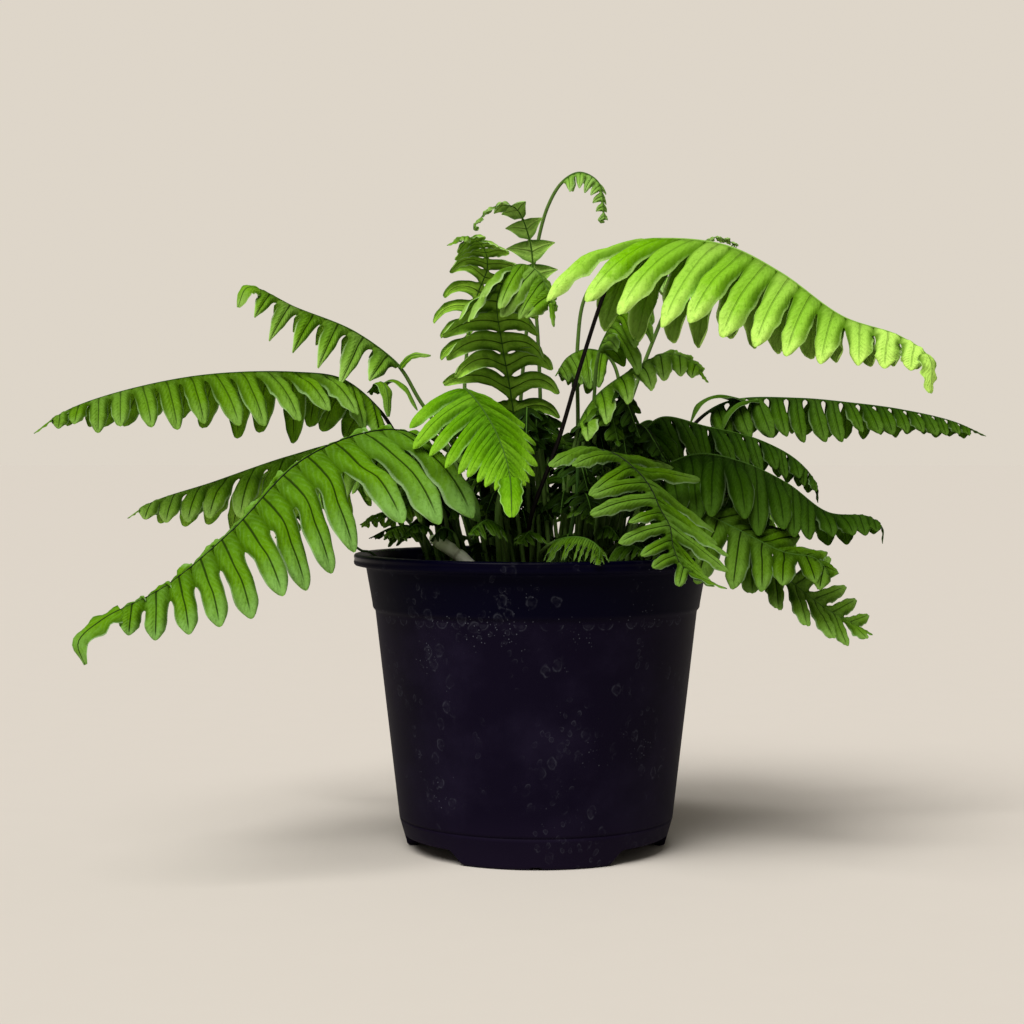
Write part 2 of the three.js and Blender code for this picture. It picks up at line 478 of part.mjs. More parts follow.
function potGeometry() {
  let pot = toManifold(turned(potOutline(), POT_SIDES));
  const slope = ARCH_FOOT_HALF_WIDTH - ARCH_TOP_HALF_WIDTH;
  const half = [[ARCH_FOOT_HALF_WIDTH + 1, -1], [ARCH_FOOT_HALF_WIDTH - 0.2 * slope, 0.16 * ARCH_HEIGHT],
    [ARCH_TOP_HALF_WIDTH + 0.3 * slope, 0.84 * ARCH_HEIGHT], [ARCH_TOP_HALF_WIDTH, ARCH_HEIGHT]];
  const arch = [...half, ...half.map(([x, z]) => [-x, z]).reverse()];
  const nick = [[NICK_HALF_WIDTH, -1], [NICK_HALF_WIDTH * 0.6, NICK_HEIGHT],
    [-NICK_HALF_WIDTH * 0.6, NICK_HEIGHT], [-NICK_HALF_WIDTH, -1]];
  for (let i = 0; i < FEET; i += 1) {
    const foot = -Math.PI / 2 + (i * 2 * Math.PI) / FEET;
    pot = pot.subtract(cutter(nick, FOOT_RADIUS - 8, FOOT_RADIUS + 8, foot));
    pot = pot.subtract(cutter(arch, FOOT_RADIUS - 30, FOOT_RADIUS + 8, foot + Math.PI / FEET));
  }
  for (let i = 0; i < DRAIN_HOLES; i += 1) {
    const angle = (i * 2 * Math.PI) / DRAIN_HOLES;
    const hole = new THREE.CylinderGeometry(DRAIN_HOLE_RADIUS, DRAIN_HOLE_RADIUS, 6, 10).rotateX(Math.PI / 2);
    hole.translate(DRAIN_CIRCLE_RADIUS * Math.cos(angle), DRAIN_CIRCLE_RADIUS * Math.sin(angle),
      FLOOR_UNDERSIDE + FLOOR_THICKNESS / 2);
    pot = pot.subtract(toManifold(hole));
  }
  return toGeometry(pot);
}

// ---------------------------------------------------------------- potting mix
// Height of the mix: heaped towards the middle, with lumps that fade out at the wall.
function soilHeight(x, y) {
  const out = Math.min(1, Math.hypot(x, y) / SOIL_RINGS[0]);
  const lumps = Math.sin(x * 0.31 + 1) * Math.cos(y * 0.27) + 0.6 * Math.sin((x + y) * 0.43);
  return mix(SOIL_CROWN_HEIGHT, SOIL_EDGE_HEIGHT, out * out) + SOIL_LUMP * lumps * (1 - out * out);
}

function soilGeometry() {
  const foot = FLOOR_UNDERSIDE + FLOOR_THICKNESS + GAP;
  const outline = [[0, foot], [innerRadius(foot) - GAP - 0.2, foot],
    [innerRadius(WALL_TOP_HEIGHT) - GAP - 0.2, WALL_TOP_HEIGHT - 0.3],
    [innerRadius(BAND_FOOT_HEIGHT) - GAP - 0.2, BAND_FOOT_HEIGHT + 0.4],
    [innerRadius(SOIL_EDGE_HEIGHT) - GAP - 0.2, SOIL_EDGE_HEIGHT],
    ...SOIL_RINGS.map((radius) => [radius, SOIL_CROWN_HEIGHT]), [0, SOIL_CROWN_HEIGHT]];
  const heap = turned(outline, SOIL_SIDES);
  const spots = heap.attributes.position;
  for (let i = 0; i < spots.count; i += 1) {
    const [x, y] = [spots.getX(i), spots.getY(i)];
    if (spots.getZ(i) > SOIL_EDGE_HEIGHT + 1) spots.setZ(i, soilHeight(x, y));
  }
  let soil = toManifold(heap);
  FRONDS.forEach(({ root: [x, y] }) => {
    const ground = soilHeight(x, y);
    const depth = HOLE_DEPTH + 8;
    const radius = (STALK_RADIUS + GAP) / Math.cos(Math.PI / HOLE_SIDES);
    const hole = new THREE.CylinderGeometry(radius, radius, depth, HOLE_SIDES).rotateX(Math.PI / 2);
    soil = soil.subtract(toManifold(hole.translate(x, y, ground - HOLE_DEPTH + depth / 2)));
  });
  RHIZOMES.forEach((spec) => {
    soil = soil.subtract(toManifold(rhizomeGeometry(spec, GAP)));
  });
  return toGeometry(soil);
}

// ---------------------------------------------------------------- materials and the whole plant
const BLACK_PLASTIC = new THREE.MeshStandardMaterial({ color: 0x131118, roughness: 0.4, metalness: 0 });
const POTTING_MIX = new THREE.MeshStandardMaterial({ color: 0x2a1c12, roughness: 1, metalness: 0 });
const PALE_RHIZOME = new THREE.MeshStandardMaterial({ color: 0xb9cf9d, roughness: 0.6, metalness: 0 });

const leafMaterial = (green) => new THREE.MeshStandardMaterial({
  color: LEAF_GREENS[green], roughness: 0.5, metalness: 0 });

function piece(name, geometry, material) {
  const mesh = new THREE.Mesh(geometry, material);
  mesh.name = name;
  return mesh;
}

const fern = new THREE.Group();
fern.add(piece('pot', potGeometry(), BLACK_PLASTIC));
fern.add(piece('potting_mix', soilGeometry(), POTTING_MIX));
RHIZOMES.forEach((spec) => fern.add(piece(spec.name, rhizomeGeometry(spec), PALE_RHIZOME)));
FRONDS.forEach((spec) => fern.add(piece(spec.name, frondGeometry(spec), leafMaterial(spec.green))));

export default fern;
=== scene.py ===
# %% [markdown]
# # A potted fern
# A young polypody fern grows in a black nursery pot: long lobed fronds arch out of the crown, pale
# rhizomes creep over the potting mix. The imported model gives every piece's place. Each step below says
# what the piece is on the real plant, and how it is made here. All sizes are metres; points that are
# listed one by one are written in millimetres and multiplied by MM where they are used.

import math
import random

import bmesh
import bpy
import numpy as np
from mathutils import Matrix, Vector, noise


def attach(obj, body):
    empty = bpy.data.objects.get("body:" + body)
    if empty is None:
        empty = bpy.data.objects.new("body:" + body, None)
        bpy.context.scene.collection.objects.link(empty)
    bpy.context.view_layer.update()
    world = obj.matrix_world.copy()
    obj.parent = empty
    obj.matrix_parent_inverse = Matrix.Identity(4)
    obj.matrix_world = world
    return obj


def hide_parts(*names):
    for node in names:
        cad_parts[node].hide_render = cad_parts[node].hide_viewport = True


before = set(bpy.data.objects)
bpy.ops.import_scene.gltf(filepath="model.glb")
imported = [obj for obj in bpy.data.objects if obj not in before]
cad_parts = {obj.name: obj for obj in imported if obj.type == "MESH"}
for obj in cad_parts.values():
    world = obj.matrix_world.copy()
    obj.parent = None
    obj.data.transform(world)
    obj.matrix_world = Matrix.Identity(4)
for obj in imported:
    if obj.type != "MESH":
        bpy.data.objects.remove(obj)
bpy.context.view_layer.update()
MM = 0.001

# %% [markdown]
# ## Camera
# The plant was seen from straight in front and a little above the rim, through a long lens. A long lens
# flattens the view, so the lens and the distance have to be right together, or the near fronds grow too
# large against the far ones.

# %% The camera
SENSOR_WIDTH = 36.0
LENS = 70.3
CAMERA_PLACE = (0.0, -0.934, 0.182)
CAMERA_PITCH = 1.59
CAMERA_YAW = 0.69

camera = bpy.data.objects.new("camera", bpy.data.cameras.new("camera"))
bpy.context.scene.collection.objects.link(camera)
camera.data.sensor_width = SENSOR_WIDTH
camera.data.lens = LENS
camera.location = CAMERA_PLACE
camera.rotation_euler = (math.radians(90 - CAMERA_PITCH), 0, math.radians(CAMERA_YAW))
bpy.context.scene.camera = camera
bpy.context.scene.view_settings.view_transform = "Standard"
print("camera", [round(value, 3) for value in camera.location])

# %% [markdown]
# ## Formulas in node trees
# Geometry Nodes and materials are both built from small Math nodes, and a formula soon needs dozens of
# them. A Wire stands for a value in a tree. Adding or multiplying two Wires adds the Math node that does
# it, so the formulas further down read like algebra.


# %% A value in a node tree
class Wire:
    """A value on its way through a node tree."""

    def __init__(self, socket):
        self.socket = socket
        self.tree = socket.id_data

    def __add__(self, other):
        return calculate("ADD", self, other)

    def __sub__(self, other):
        return calculate("SUBTRACT", self, other)

    def __rsub__(self, other):
        return calculate("SUBTRACT", other, self)

    def __mul__(self, other):
        if is_vector(self) and not is_vector(other):
            return calculate("SCALE", self, other)
        if is_vector(other) and not is_vector(self):
            return calculate("SCALE", other, self)
        return calculate("MULTIPLY", self, other)

    def __truediv__(self, other):
        return calculate("DIVIDE", self, other)

    def __pow__(self, other):
        return calculate("POWER", self, other)

    __radd__ = __add__
    __rmul__ = __mul__

    def part(self, axis):
        """One number of a vector."""
        node = self.tree.nodes.new("ShaderNodeSeparateXYZ")
        self.tree.links.new(self.socket, node.inputs[0])
        return Wire(node.outputs["XYZ".index(axis)])


def is_vector(value):
    """Whether a Wire or a plain value has three parts."""
    return value.socket.type == "VECTOR" if isinstance(value, Wire) else isinstance(value, tuple)


def connect(value, socket):
    """Links a Wire to a socket, or writes a plain value on it."""
    if isinstance(value, Wire):
        value.tree.links.new(value.socket, socket)
    else:
        socket.default_value = value


def calculate(operation, *values):
    """Adds one Math or Vector Math node and returns its answer."""
    tree = next(value.tree for value in values if isinstance(value, Wire))
    vector = any(is_vector(value) for value in values)
    node = tree.nodes.new("ShaderNodeVectorMath" if vector else "ShaderNodeMath")
    node.operation = operation
    sockets = [node.inputs[0], node.inputs["Scale"]] if operation == "SCALE" else node.inputs
    for socket, value in zip(sockets, values):
        connect(value, socket)
    return Wire(node.outputs["Value" if operation == "DOT_PRODUCT" or not vector else "Vector"])


def formula(operation):
    """A helper that adds one Math node of the named kind."""
    return lambda *values: calculate(operation, *values)


sine, cosine, size_of, power_of_e = map(formula, ("SINE", "COSINE", "ABSOLUTE", "EXPONENT"))
lower_of, higher_of, is_more, is_less = map(formula, ("MINIMUM", "MAXIMUM", "GREATER_THAN", "LESS_THAN"))
unit, dot, cross = map(formula, ("NORMALIZE", "DOT_PRODUCT", "CROSS_PRODUCT"))


def mix(start, end, share):
    """The start where the share is 0, the end where it is 1."""
    return start + (end - start) * share


def bell(value, wide):
    """1 in the middle, falling softly to 0 on both sides."""
    return power_of_e((value / wide) ** 2 * -1)


def smooth_step(value, low, high):
    """0 below low, 1 above high, and a soft S between them."""
    node = value.tree.nodes.new("ShaderNodeMapRange")
    node.interpolation_type = "SMOOTHSTEP"
    for name, number in (("Value", value), ("From Min", low), ("From Max", high)):
        connect(number, node.inputs[name])
    return Wire(node.outputs["Result"])


print("formula helpers are ready")


# %% [markdown]
# ## Recipes
# A recipe is a Geometry Nodes tree with named inputs. The modifier that runs it is filled in by the
# inputs' identifiers, and the result is taken as a plain mesh, so that no modifier is left on the piece.
# Most nodes in a recipe are Geometry nodes, so that part of their name is left out.


# %% A recipe and how it is served
class Recipe:
    """A Geometry Nodes tree with named inputs: the names of each kind of input stand in one string."""

    def __init__(self, name, **inputs):
        self.tree = bpy.data.node_groups.new(name, "GeometryNodeTree")
        self.kinds = {label: kind for kind, labels in inputs.items() for label in labels.split()}
        self.identifiers = {}
        for label, kind in {"Geometry": "Geometry", **self.kinds}.items():
            socket = self.tree.interface.new_socket(label, in_out="INPUT", socket_type="NodeSocket" + kind)
            self.identifiers[label] = socket.identifier
        self.tree.interface.new_socket("Geometry", in_out="OUTPUT", socket_type="NodeSocketGeometry")
        self.entry = self.tree.nodes.new("NodeGroupInput")

    def given(self, label):
        """What came in under a label."""
        return Wire(self.entry.outputs[label])

    def step(self, kind, values=(), **settings):
        """Adds a node. values goes to its sockets by name, settings to its own properties."""
        family = "" if kind.startswith(("Shader", "Function")) else "GeometryNode"
        node = self.tree.nodes.new(family + kind)
        for name, setting in settings.items():
            setattr(node, name, setting)
        for name, value in dict(values).items():
            sockets = [socket for socket in node.inputs if socket.name == name and socket.enabled]
            for wire in value if isinstance(value, list) else [value]:
                connect(wire, sockets[0])
        return node

    def result(self, kind, values=(), **settings):
        """Adds a node and returns its first output that is in use."""
        node = self.step(kind, values, **settings)
        return Wire(next(socket for socket in node.outputs if socket.enabled))

    def attribute(self, name):
        """A number that was stored on every point."""
        node = self.step("InputNamedAttribute", {"Name": name}, data_type="FLOAT")
        return Wire(next(s for s in node.outputs if s.enabled and s.name == "Attribute"))

    def store(self, geometry, name, value):
        """Stores a number or a vector on every point."""
        kind = "FLOAT_VECTOR" if is_vector(value) else "FLOAT"
        return self.result("StoreNamedAttribute", {"Geometry": geometry, "Name": name, "Value": value},
                           data_type=kind)

    def vector(self, x=0.0, y=0.0, z=0.0):
        """Three numbers as one vector."""
        return self.result("ShaderNodeCombineXYZ", {"X": x, "Y": y, "Z": z})

    def coat(self, geometry, label):
        """Gives a geometry the material that came in under a label."""
        return self.result("SetMaterial", {"Geometry": geometry, "Material": self.given(label)})

    def end(self, geometry):
        """The recipe's last node: plain geometry without instances."""
        whole = self.result("RealizeInstances", {"Geometry": geometry})
        connect(whole, self.tree.nodes.new("NodeGroupOutput").inputs[0])


def keep_result(piece):
    """Takes what the piece's modifiers make as its plain mesh, and removes them."""
    depsgraph = bpy.context.evaluated_depsgraph_get()
    made = bpy.data.meshes.new_from_object(piece.evaluated_get(depsgraph), preserve_all_data_layers=True,
                                           depsgraph=depsgraph)
    piece.modifiers.clear()
    piece.data = made


def serve(recipe, piece, values):
    """Runs a recipe on a piece. values goes to the recipe's inputs by name."""
    modifier = piece.modifiers.new(recipe.tree.name, "NODES")
    modifier.node_group = recipe.tree
    for label, value in values.items():
        number = recipe.kinds[label] == "Float"
        modifier[recipe.identifiers[label]] = float(value) if number else value
    keep_result(piece)
    return piece


def new_piece(name, points, edges=(), faces=()):
    """A plain mesh in the scene."""
    mesh = bpy.data.meshes.new(name)
    mesh.from_pydata([tuple(point) for point in points], list(edges), list(faces))
    piece = bpy.data.objects.new(name, mesh)
    bpy.context.scene.collection.objects.link(piece)
    return piece


def new_course(name, points):
    """A piece that is only a row of joined points, for a recipe to follow."""
    return new_piece(name, points, edges=[(i, i + 1) for i in range(len(points) - 1)])


def in_metres(path):
    """Points that were picked in millimetres, as metres."""
    return [tuple(value * MM for value in point) for point in path]


print("recipes can be served")


# %% [markdown]
# ## Shader helpers
# Every finish below is one Principled shader whose colour, roughness and bump come from procedural
# textures. Patterns that belong to a place in space read Object coordinates, and patterns that follow a
# leaf read the attribute that its recipe stored on it.


# %% A material and its usual nodes
class Finish:
    """A material with one Principled shader."""

    def __init__(self, name, roughness=0.5, **constants):
        self.material = bpy.data.materials.new(name)
        self.material.use_nodes = True
        self.tree = self.material.node_tree
        self.shader = self.tree.nodes["Principled BSDF"]
        self.shader.inputs["Roughness"].default_value = roughness
        for label, value in constants.items():
            self.shader.inputs[label.replace("_", " ")].default_value = value
        self.space = Wire(self.tree.nodes.new("ShaderNodeTexCoord").outputs["Object"])

    def noise(self, scale, detail=3.0, roughness=0.5, vector=None, output="Fac"):
        """A cloudy pattern. A higher scale makes it finer."""
        node = self.tree.nodes.new("ShaderNodeTexNoise")
        connect(vector or self.space, node.inputs["Vector"])
        for label, value in (("Scale", scale), ("Detail", detail), ("Roughness", roughness)):
            node.inputs[label].default_value = value
        return Wire(node.outputs[output])

    def cells(self, scale, place=None, dimensions="3D"):
        """Distance to the nearest of many scattered points."""
        node = self.tree.nodes.new("ShaderNodeTexVoronoi")
        node.voronoi_dimensions = dimensions
        connect(place or self.space, node.inputs["W" if dimensions == "1D" else "Vector"])
        node.inputs["Scale"].default_value = scale
        return Wire(node.outputs["Distance"])

    def attribute(self, name, output="Vector"):
        """What a recipe stored on the leaf."""
        node = self.tree.nodes.new("ShaderNodeAttribute")
        node.attribute_name = name
        return Wire(node.outputs[output])

    def tint(self, first, second, share):
        """The first colour where the share is 0, the second where it is 1."""
        node = self.tree.nodes.new("ShaderNodeMix")
        node.data_type = "RGBA"
        connect(share, node.inputs["Factor"])
        for label, colour in (("A", first), ("B", second)):
            socket = next(s for s in node.inputs if s.name == label and s.type == "RGBA")
            connect(colour if isinstance(colour, Wire) else (*colour, 1.0), socket)
        return Wire(next(s for s in node.outputs if s.type == "RGBA"))

    def paint(self, colour, *coats):
        """Lays tones over a colour, each by its own share, and gives the result to the shader."""
        for tone, share in coats:
            colour = self.tint(colour, tone, share)
        self.set("Base Color", colour)

    def set(self, label, value):
        connect(value, self.shader.inputs[label])

    def bump(self, height, distance):
        """Fine relief in the shading only."""
        node = self.tree.nodes.new("ShaderNodeBump")
        node.inputs["Distance"].default_value = distance
        connect(height, node.inputs["Height"])
        connect(Wire(node.outputs["Normal"]), self.shader.inputs["Normal"])


print("finishes can be mixed")

# %% [markdown]
# ## Light and floor
# The plant stood in plain soft light from above and in front: the top frond is bright, and it shades the
# ones on the right below it. A wide sun gives that light evenly, so the floor and the backdrop keep one
# pale tone. The sky only fills the shadows.

# %% Sun, sky and floor
PALE = (0.73, 0.67, 0.585)
SUN_STRENGTH = 3.7
SUN_SOFTNESS = 42
SUN_FROM = Vector((-0.35, -0.75, 1.15))
SKY_STRENGTH = 0.27
FLOOR_HALF_SIZE = 40.0
FLOOR_COLOUR = (0.655, 0.621, 0.580)


def shade(colour, factor):
    """A colour made darker or lighter."""
    return tuple(factor * value for value in colour)


def make_sky():
    """A pale backdrop that lights the plant far less than it looks."""
    world = bpy.data.worlds.new("studio")
    bpy.context.scene.world = world
    world.use_nodes = True
    tree = world.node_tree
    background = tree.nodes["Background"]
    background.inputs["Color"].default_value = (*PALE, 1.0)
    seen = Wire(tree.nodes.new("ShaderNodeLightPath").outputs["Is Camera Ray"])
    connect(mix(SKY_STRENGTH, 1.0, seen), background.inputs["Strength"])


def make_sun():
    """A wide sun from above, in front and a little to the left."""
    sun = bpy.data.objects.new("sun", bpy.data.lights.new("sun", "SUN"))
    sun.data.energy = SUN_STRENGTH
    sun.data.angle = math.radians(SUN_SOFTNESS)
    sun.data.color = (1.0, 0.97, 0.92)
    sun.rotation_mode = "QUATERNION"
    sun.rotation_quaternion = SUN_FROM.to_track_quat("Z", "Y")
    bpy.context.scene.collection.objects.link(sun)


def make_floor():
    """A floor without an end in sight. It isn't part of the plant."""
    half = FLOOR_HALF_SIZE
    floor = new_piece("floor", [(-half, -half, 0), (half, -half, 0), (half, half, 0), (-half, half, 0)],
                      faces=[(0, 1, 2, 3)])
    finish = Finish("pale_floor", roughness=0.9, Specular_IOR_Level=0.1)
    speckle = finish.noise(40, detail=2)
    finish.paint(FLOOR_COLOUR, (shade(FLOOR_COLOUR, 0.985), speckle))
    floor.data.materials.append(finish.material)


make_sky()
make_sun()
make_floor()
print("light and floor are set")

# %% [markdown]
# ## Leaf finishes
# A lobe of this fern has a dark midline in a shallow groove, faint side veins that run out to the edge,
# a blotchy green between them and a pale, slightly downy margin. The recipe for the lobes stores on every
# point how far along and how far across its lobe it is, and the finish draws the midline, the veins and
# the margin from that, with painted shade near the midrib and in the gaps between lobes. The underside is
# paler and duller, except where a finish paints it as shade or light.

# %% Leaf finish
def leaf_finish(name, green, inner, outer, margin, gloss=0.5, line=0.8, back=None, vein=0.14, fade=0.0):
    """One green and its neighbours: painted shade by the midrib and in the gaps between lobes, paler at the
    tips and at the margin.
    """
    finish = Finish(name, roughness=gloss, Specular_IOR_Level=0.03)
    place = finish.attribute("leaf_place")
    along, across, grown = place.part("X"), size_of(place.part("Y")), place.part("Z")
    under = finish.attribute("underside", "Fac")
    luck = finish.attribute("lobe_luck", "Fac")
    blotches = finish.noise(150, detail=5, roughness=0.65)
    flecks = finish.noise(620, detail=4, roughness=0.7)
    grain = finish.noise(1500, detail=2)
    deepest = shade(inner, 0.5)
    back_colour = finish.tint(back or shade(green, 1.25), shade(back or green, 0.6),
                              smooth_step(blotches, 0.4, 0.7))
    veins = sine((along * 11 - across * 3.2 + blotches * 1.6) * math.tau) * 0.5 + 0.5
    # Painted shade: the sides of a lobe darken near its foot, where the gaps between lobes lie in shade.
    crevice_shade = smooth_step(across, 0.45, 0.95) * (1 - smooth_step(along, 0.35, 0.8))
    edge = smooth_step(across + grain * 0.08, 0.92, 1.02) * smooth_step(along, 0.15, 0.5)
    midline = (1 - smooth_step(across, 0.02, 0.09)) * (1 - smooth_step(along, 0.8, 0.95))
    # The first coats darken each lobe towards the midrib. This is painted shade, not a colour of the leaf.
    finish.paint(
        deepest,
        (inner, smooth_step(along + blotches * 0.3, 0.1, 0.4)),
        (green, smooth_step(along + blotches * 0.4, 0.25, 0.85)),
        (outer, smooth_step(along + blotches * 0.7, 0.85, 1.4)),
        (inner, smooth_step(blotches, 0.5, 0.72) * 0.45),
        (outer, smooth_step(luck + grown * 0.4, 0.5, 1.2) * 0.3),
        (outer, smooth_step(grown + along * 0.2, 0.6, 1.05) * fade),
        (deepest, smooth_step(flecks, 0.5, 0.68) * 0.35),
        (outer, (1 - smooth_step(flecks, 0.3, 0.45)) * vein * 2),
        (back_colour, under * 0.75),
        (outer, veins**3 * smooth_step(across, 0.1, 0.4) * vein),
        (deepest, crevice_shade * 0.8),
        (margin, edge * 0.7),
        (shade(inner, 0.1), midline * line))
    finish.set("Roughness", gloss + blotches * 0.12 + under * 0.2 + edge * 0.2)
    relief = veins * 0.25 * smooth_step(across, 0.08, 0.3) + blotches * 0.8 + flecks * 0.5
    finish.bump(relief - midline * 0.8 + grain * 0.3, 0.0004)
    return finish.material


def stalk_finish(name, low, high):
    """A stalk has one colour up to the blade, and the midrib in the blade has another."""
    finish = Finish(name, roughness=0.5, Specular_IOR_Level=0.1)
    grown = finish.attribute("leaf_place").part("Z")
    streaks = finish.noise(420, detail=3)
    finish.paint(low, (high, smooth_step(grown + streaks * 0.04, -0.02, 0.08)),
                 (shade(low, 0.4), smooth_step(streaks, 0.5, 0.8) * 0.4))
    finish.bump(streaks, 0.00015)
    return finish.material


# Lit and shaded copies of one green. The lighter finishes on the high and front fronds are painted light,
# and the darker ones on fronds under others and in the crown are painted shade. The lime and young greens
# are partly the leaves' own colour. The dark underside of the lime finish is painted shade for its far
# lobes. The pale undersides of the upright and young finishes are painted light, and the young one stands in
# for light shining through the leaf.
LEAF_FINISHES = {
    "fresh": leaf_finish("lime_leaf_painted_sun_and_shaded_underside", (0.185, 0.47, 0.001), (0.125, 0.34, 0.001), (0.58, 0.92, 0.17),
                         (0.55, 0.84, 0.25), gloss=0.5, line=0.3, back=(0.05, 0.13, 0.003), vein=0.05,
                         fade=0.75),
    "bright": leaf_finish("painted_sunlit_green_leaf", (0.12, 0.33, 0.001), (0.07, 0.22, 0.001), (0.26, 0.55, 0.03),
                          (0.36, 0.65, 0.18), gloss=0.45, line=0.6),
    "upright": leaf_finish("painted_sunlit_upright_leaf", (0.14, 0.32, 0.008), (0.08, 0.21, 0.003), (0.28, 0.48, 0.1),
                           (0.42, 0.60, 0.28), line=0.8, back=(0.34, 0.64, 0.05)),
    "grass": leaf_finish("grass_green_leaf", (0.105, 0.255, 0.002), (0.075, 0.20, 0.001),
                         (0.20, 0.40, 0.09), (0.34, 0.50, 0.26), line=0.9),
    "mid": leaf_finish("green_leaf", (0.105, 0.245, 0.002), (0.07, 0.175, 0.001), (0.19, 0.36, 0.06),
                       (0.30, 0.48, 0.2), line=0.6),
    "dim": leaf_finish("painted_shade_dim_green_leaf", (0.08, 0.185, 0.002), (0.042, 0.11, 0.001),
                       (0.15, 0.29, 0.045), (0.25, 0.38, 0.19), line=0.9),
    "deep": leaf_finish("painted_shade_dark_green_leaf", (0.040, 0.106, 0.001), (0.020, 0.062, 0.001),
                        (0.085, 0.18, 0.02), (0.19, 0.29, 0.13), line=0.55),
    "dusk": leaf_finish("painted_shade_dusky_green_leaf", (0.028, 0.080, 0.001), (0.014, 0.046, 0.001),
                        (0.06, 0.14, 0.012), (0.16, 0.25, 0.11), line=0.5),
    "shadow": leaf_finish("shaded_green_leaf", (0.012, 0.032, 0.001), (0.006, 0.016, 0.001),
                          (0.02, 0.055, 0.004), (0.05, 0.10, 0.04), line=0.6),
    "young": leaf_finish("young_green_leaf_painted_backlit_underside", (0.27, 0.50, 0.08), (0.17, 0.37, 0.04), (0.36, 0.58, 0.18),
                         (0.42, 0.60, 0.32), line=0.6, back=(0.5, 0.82, 0.15)),
}
STALK_FINISHES = {
    "dark": stalk_finish("dark_stalk_green_midrib", (0.006, 0.004, 0.004), (0.02, 0.07, 0.004)),
    "lime": stalk_finish("dark_stalk_lime_midrib", (0.006, 0.004, 0.004), (0.22, 0.42, 0.06)),
    "black": stalk_finish("green_stalk_dark_midrib", (0.035, 0.09, 0.015), (0.006, 0.012, 0.003)),
    "green": stalk_finish("green_stalk", (0.10, 0.19, 0.035), (0.05, 0.125, 0.012)),
}
print("leaf finishes", sorted(LEAF_FINISHES))

# %% [markdown]
# ## The course of a midrib
# A frond is one grown piece: a stalk stands up out of its hole in the mix and becomes the midrib of the
# blade. Its course goes smoothly through a few points. A centripetal spline never overshoots between
# uneven points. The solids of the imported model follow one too, so both courses bend alike.

# %% Points along a midrib
SOIL_EDGE = 121 * MM
SOIL_CROWN = 125 * MM
SOIL_RADIUS = 66 * MM
SOIL_LUMP = 1.1 * MM
HOLE_DEPTH = 8.65 * MM
STANDS_UP = 3 * MM
STEPS_PER_SPAN = 24
COIL_RADIUS = 1.5 * MM
COIL_STEPS = 18
COIL_TIGHTENS = 0.75


def soil_height(x, y):
    """Height of the potting mix: heaped to the middle, with lumps that fade out towards the wall."""
    out = min(1.0, math.hypot(x, y) / SOIL_RADIUS)
    lumps = math.sin(x / MM * 0.31 + 1) * math.cos(y / MM * 0.27) + 0.6 * math.sin((x + y) / MM * 0.43)
    return SOIL_CROWN + (SOIL_EDGE - SOIL_CROWN) * out * out + SOIL_LUMP * lumps * (1 - out * out)


def spline(points):
    """A centripetal spline through the points, as a dense row of points."""
    corners = np.array(points, float)
    corners = np.vstack([2 * corners[0] - corners[1], corners, 2 * corners[-1] - corners[-2]])
    row = []
    for before, start, end, after in zip(corners, corners[1:], corners[2:], corners[3:]):
        gaps = [math.sqrt(np.linalg.norm(b - a)) for a, b in ((before, start), (start, end), (end, after))]
        leave = ((start - before) / gaps[0] - (end - before) / (gaps[0] + gaps[1])
                 + (end - start) / gaps[1]) * gaps[1]
        arrive = ((end - start) / gaps[1] - (after - start) / (gaps[1] + gaps[2])
                  + (after - end) / gaps[2]) * gaps[1]
        for step in range(STEPS_PER_SPAN):
            t = step / STEPS_PER_SPAN
            row.append(start * (2 * t**3 - 3 * t**2 + 1) + leave * (t**3 - 2 * t**2 + t)
                       + end * (3 * t**2 - 2 * t**3) + arrive * (t**3 - t**2))
    return np.array([*row, corners[-2]])


def shares(row):
    """How far along the row each point lies, from 0 to 1, and the whole length."""
    lengths = np.concatenate([[0], np.cumsum(np.linalg.norm(np.diff(row, axis=0), axis=1))])
    return lengths / lengths[-1], lengths[-1]


def coiled_tip(row, turns):
    """A crozier: the row goes on in a spiral that winds up under its own end."""
    ahead = row[-1] - row[-2]
    ahead = ahead / np.linalg.norm(ahead)
    level = np.cross(ahead, (0, 0, 1))
    level = level / np.linalg.norm(level)
    inward = np.cross(ahead, level)
    angles = np.linspace(0, turns * 2 * math.pi, int(turns * COIL_STEPS) + 1)[1:]
    radii = COIL_RADIUS * (1 - COIL_TIGHTENS * angles / angles[-1])
    centre = row[-1] + inward * COIL_RADIUS
    return np.array([centre + radius * (math.sin(angle) * ahead - math.cos(angle) * inward)
                     for angle, radius in zip(angles, radii)])


def midrib(root, path, neck, coil=0):
    """The row of points of a frond, the share at which its blade starts, and its length."""
    points = in_metres(path)
    if root:
        x, y = root[0] * MM, root[1] * MM
        ground = soil_height(x, y)
        foot = [(x, y, ground - HOLE_DEPTH), (x, y, ground + STANDS_UP)]
        points = [*foot, *points]
        neck = neck + len(foot)
    row = spline(points)
    start = neck * STEPS_PER_SPAN
    if coil:
        row = np.concatenate([row, coiled_tip(row, coil)])
    share, length = shares(row)
    return row, float(share[start]), float(length)


print("a test midrib has", len(midrib((0, 0), [(0, 0, 150), (10, 0, 180)], 0)[0]), "points")

# %% [markdown]
# ## Lobes along a midrib
# The blade is cut nearly to the midrib into strap-like lobes. They repeat, but no two are alike: they
# lengthen above the neck, dwindle to the tip, lean more and more forward and sag under their own weight.
# That is a rule, so Geometry Nodes make it. One flat pad, closed all round, is set on every place along
# the midrib, and then each of its points is moved to where the formula says, with a little luck for
# every lobe. The formulas start with the course of a lobe: how it leaves the midrib, bends and droops.

